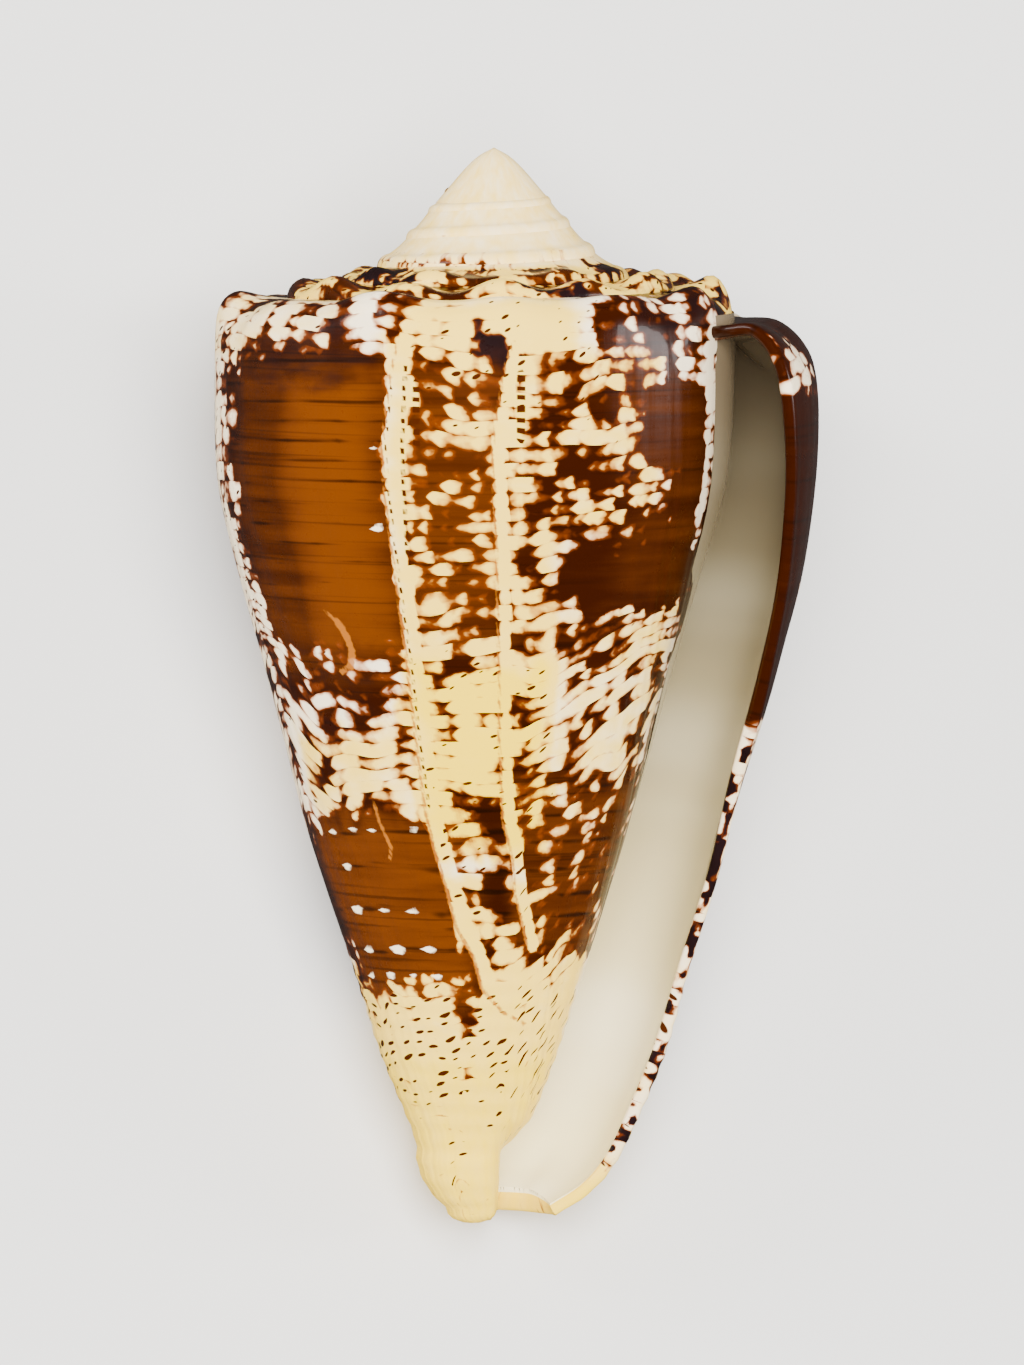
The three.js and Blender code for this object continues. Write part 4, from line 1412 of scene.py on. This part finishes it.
    def dots(self, sheet: OutsideSheet) -> Socket:
        """Small dots, one at a random place in each cell of a row, where the pattern's chance of dots allows it.

        Args:
            sheet: the node tree.

        Returns:
            1 on a dot and 0 off it.
        """
        add, chance = sheet.add, sheet.fields["dots"]
        depth = add("Math", sheet.depth, sheet.fields["lean"], operation="ADD")
        lane = add("Math", depth, self.dot_pitch, operation="DIVIDE")
        row = add("Math", lane, operation="FLOOR")
        along = add("Math", sheet.angle, self.local_radius(sheet, row, self.dot_pitch), operation="MULTIPLY")
        cells = add("Math", along, self.dot_spacing, operation="DIVIDE")
        cell = add("CombineXYZ", add("Math", cells, operation="FLOOR"), row, 0.5)
        colour = add("TexWhiteNoise", cell, output="Color")
        red, green, blue = (add("SeparateColor", colour, output=channel) for channel in range(3))
        middle_x = add("Math", red, 0.6, 0.2, operation="MULTIPLY_ADD")
        off_x = add("Math", add("Math", cells, operation="FRACT"), middle_x, operation="SUBTRACT")
        middle_y = add("Math", green, 0.6, 0.2, operation="MULTIPLY_ADD")
        off_y = add("Math", add("Math", lane, operation="FRACT"), middle_y, operation="SUBTRACT")
        x = add("Math", off_y, 0.9, off_x, operation="MULTIPLY_ADD")
        x = add("Math", x, self.dot_spacing / 1.4, operation="MULTIPLY")
        y = add("Math", off_y, self.dot_pitch, operation="MULTIPLY")
        y_squared = add("Math", y, y, operation="MULTIPLY")
        away = add("Math", add("Math", x, x, y_squared, operation="MULTIPLY_ADD"), operation="SQRT")
        there = add("Math", blue, chance, operation="LESS_THAN")
        size = add("Math", green, 0.14, 0.02, operation="MULTIPLY_ADD")
        size = add("Math", chance, 0.07, size, operation="MULTIPLY_ADD")
        inside = add("Math", size, away, operation="SUBTRACT")
        inside = add("MapRange", inside, -0.02, 0.03, **SMOOTH)
        return add("Math", there, inside, operation="MULTIPLY")

    def bars(self, sheet: OutsideSheet, slow: Socket) -> Socket:
        """Bars and squares across the growth lines, at an even beat that the coarse noise disturbs.

        Args:
            sheet: the node tree.
            slow: the coarse noise.

        Returns:
            1 on a bar or square and 0 off it.
        """
        add, fields = sheet.add, sheet.fields
        level = add("Math", slow, 0.25, sheet.depth, operation="MULTIPLY_ADD")
        beat = add("Math", add("Math", level, self.bar_pitch, operation="DIVIDE"), operation="FRACT")
        off = add("Math", add("Math", beat, 0.5, operation="SUBTRACT"), operation="ABSOLUTE")
        across = add("MapRange", fields["bars"], -0.05, 0.05, **SMOOTH)
        bar = add("Math", add("MapRange", off, 0.32, 0.2, **SMOOTH), across, operation="MULTIPLY")
        return add("Math", bar, fields["ink"], operation="MAXIMUM")

    def build(self) -> bpy.types.Material:
        """Builds the patterned outside.

        Returns:
            The material.
        """
        sheet = OutsideSheet()
        add, fields = sheet.add, sheet.fields
        slow = sheet.streak(3.4, 2.2, 1.0, 0.0, 3.6, 0.0)
        fine = sheet.streak(0.5, 0.32, 1.0, 4.0, 0.5, 0.0)
        pale_reach = self.drops(sheet, slow, fine)
        pale = add("MapRange", pale_reach, -0.12, 0.2, **SMOOTH)
        colours = {6: self.brown(sheet, pale_reach), 7: self.light(sheet, pale_reach)}
        colour = add("Mix", pale, named=colours, **RGBA)
        scar = add("Math", fine, 0.4, fields["tan"], operation="MULTIPLY_ADD")
        scar = add("Math", add("MapRange", scar, -0.06, 0.08, **SMOOTH), 0.85, operation="MULTIPLY")
        colour = add("Mix", scar, named={6: colour, 7: linear(self.scar)}, **RGBA)
        spot = add("Math", fine, 0.3, fields["spot"], operation="MULTIPLY_ADD")
        spot = add("MapRange", spot, -0.04, 0.09, **SMOOTH)
        colour = add("Mix", spot, named={6: colour, 7: linear(self.white)}, **RGBA)
        colour = add("Mix", self.bars(sheet, slow), named={6: colour, 7: linear(self.dot)}, **RGBA)
        spiral_lines = add("Math", sheet.streak(6.0, 0.35, 2.0, 57.0), 0.5, operation="MULTIPLY")
        lines = add("Math", sheet.streak(0.3, 12.0, 2.0, 51.0), spiral_lines, operation="ADD")
        relief = {"Strength": 0.14, "Distance": self.relief, "Height": lines}
        return sheet.finish(
            {
                "Base Color": colour,
                "Roughness": sheet.streak(1.0, 1.0, 3.0, 41.0, 0.2, self.roughness),
                "Specular IOR Level": self.specular,
                "Coat Weight": self.coat,
                "Coat Roughness": self.coat_roughness,
                "Normal": add("Bump", named=relief, output="Normal"),
            }
        )


@dataclass(frozen=True)
class PorcelainFinish:
    """The inside of the shell: the last aragonite layer, laid down smooth against the animal's skin."""

    # A dense white layer polished by the animal itself: to the eye like glazed porcelain, warmer towards the open
    # end.
    # Deep inside it is painted darker, as painted shade. The pigment of the outside shows through its thin margin
    # at the lip.
    # Painted shade: the colour deep in the aperture is darkened where little light reaches
    shaded_deep: str = "77664E"
    pale: str = "FFEFB8"
    warm: str = "FFF4CC"
    margin: str = "4A1E08"
    shaded_deep_depth: float = 8.0
    pale_depth: float = 68.0
    margin_width: float = 0.9
    roughness: float = 0.22

    def build(self) -> bpy.types.Material:
        """Builds the inside.

        Returns:
            The material.
        """
        sheet = NodeSheet("porcelain")
        add = sheet.add
        growth = add("Attribute", output="Vector", attribute_name="growth")
        depth = add("SeparateXYZ", growth, output=1)
        # Painted shade: the colour goes from the darkened deep end to the pale open end
        down = add("MapRange", depth, self.shaded_deep_depth, self.pale_depth, **SMOOTH)
        colour = add("Mix", down, named={6: linear(self.shaded_deep), 7: linear(self.pale)}, **RGBA)
        drift = add("TexNoise", growth, named={"Scale": 0.12, "Detail": 2.0})
        drift = add("Math", add("MapRange", drift, 0.4, 0.7, **SMOOTH), down, operation="MULTIPLY")
        colour = add("Mix", drift, named={6: colour, 7: linear(self.warm)}, **RGBA)
        width = add("Attribute", output="Fac", attribute_name="margin")
        width = add("Math", self.margin_width, width, operation="SUBTRACT")
        wave = add("TexNoise", growth, named={"Scale": 1.1, "Detail": 2.0})
        edge = add("Math", wave, 1.2, width, operation="MULTIPLY_ADD")
        upper = add("MapRange", depth, 46.0, 38.0, **SMOOTH)
        margin = add("Math", add("MapRange", edge, -0.15, 0.25, **SMOOTH), upper, operation="MULTIPLY")
        colour = add("Mix", margin, named={6: colour, 7: linear(self.margin)}, **RGBA)
        return sheet.finish({"Base Color": colour, "Roughness": self.roughness})


@dataclass(frozen=True)
class Softbox:
    """A rectangular softbox that faces the shell, with its long side along the shell."""

    name: str
    place: tuple[float, float, float]
    size: tuple[float, float]
    power: float
    mirrored: bool = True

    def build(self) -> None:
        """Adds the light, and keeps it out of reflections where it would veil the dark shell."""
        bpy.ops.object.light_add(type="AREA", location=self.place)
        lamp = bpy.context.active_object
        lamp.name = self.name
        lamp.data.shape = "RECTANGLE"
        lamp.data.size, lamp.data.size_y = self.size
        lamp.data.energy = self.power
        aim = Vector((0, 0, 0.015)) - Vector(self.place)
        lamp.rotation_euler = aim.to_track_quat("-Z", "Y").to_euler()
        lamp.visible_glossy = self.mirrored


@dataclass
class Studio:
    """A plain pale floor, soft lights and the camera."""

    form: GrowthForm
    floor_colour: str = "DEDCD8"
    world_colour: str = "ECEAE6"
    world_strength: float = 0.16
    distance: float = 0.75
    tilt: float = 4.0
    sensor: float = 36.0
    frame_height: float = 0.083
    aim: tuple[float, float, float] = (1.1, 0, -32.5)

    def floor(self) -> None:
        """A plain pale floor under the shell, which doesn't show in the shell's reflections."""
        bpy.ops.object.select_all(action="DESELECT")
        bpy.ops.mesh.primitive_plane_add(size=3)
        floor = bpy.context.active_object
        floor.name = "floor"
        paint = {"Base Color": linear(self.floor_colour), "Roughness": 0.8}
        floor.data.materials.append(NodeSheet("floor").finish(paint))
        floor.visible_glossy = False

    def lights(self) -> None:
        """Two narrow lights at the sides, a broad front light above and a soft world."""
        Softbox("key", (-0.75, 0.3, 0.3), (0.14, 0.5), 6.0).build()
        Softbox("fill", (0.75, 0.0, 0.32), (0.14, 0.5), 4.5).build()
        Softbox("front", (-0.15, -0.1, 1.2), (0.8, 0.8), 55.0, mirrored=False).build()
        world = bpy.data.worlds.new("studio")
        world.use_nodes = True
        background = world.node_tree.nodes["Background"]
        background.inputs[0].default_value = linear(self.world_colour)
        background.inputs[1].default_value = self.world_strength
        bpy.context.scene.world = world

    def camera(self) -> None:
        """A long lens nearly square to the shell's axis, on the aperture side, with the spire up in the picture."""
        data = bpy.data.cameras.new("camera")
        camera = bpy.data.objects.new("camera", data)
        bpy.context.collection.objects.link(camera)
        dip = math.radians(self.tilt)
        back = self.form.turn @ Vector((0, -math.cos(dip), math.sin(dip)))
        up = self.form.turn @ Vector((0, math.sin(dip), math.cos(dip)))
        side = up.cross(back)
        middle = (self.form.turn @ Vector(self.aim) + Vector(self.form.tip)) * MM
        place = Matrix((side, up, back)).transposed().to_4x4()
        place.translation = middle + back * self.distance
        camera.matrix_world = place
        data.sensor_fit = "VERTICAL"
        data.sensor_height = self.sensor
        data.lens = self.sensor * self.distance / self.frame_height
        data.clip_end = 10
        bpy.context.scene.camera = camera

    def build(self) -> None:
        """Sets up the whole studio."""
        self.floor()
        self.lights()
        self.camera()


def main() -> None:
    """Builds the shell and the studio around it."""
    logging.basicConfig(level=logging.INFO, format="%(name)s: %(message)s")
    form = GrowthForm()
    OutsideFinish().build()
    PorcelainFinish().build()
    shell = ConeShell(form, ShellPattern(form)).build()
    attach(shell, "root")
    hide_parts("shell")
    LOG.info("shell: %d faces", len(shell.data.polygons))
    Studio(form).build()
    LOG.info("studio: floor, lights and camera")


if __name__ == "__main__":
    main()
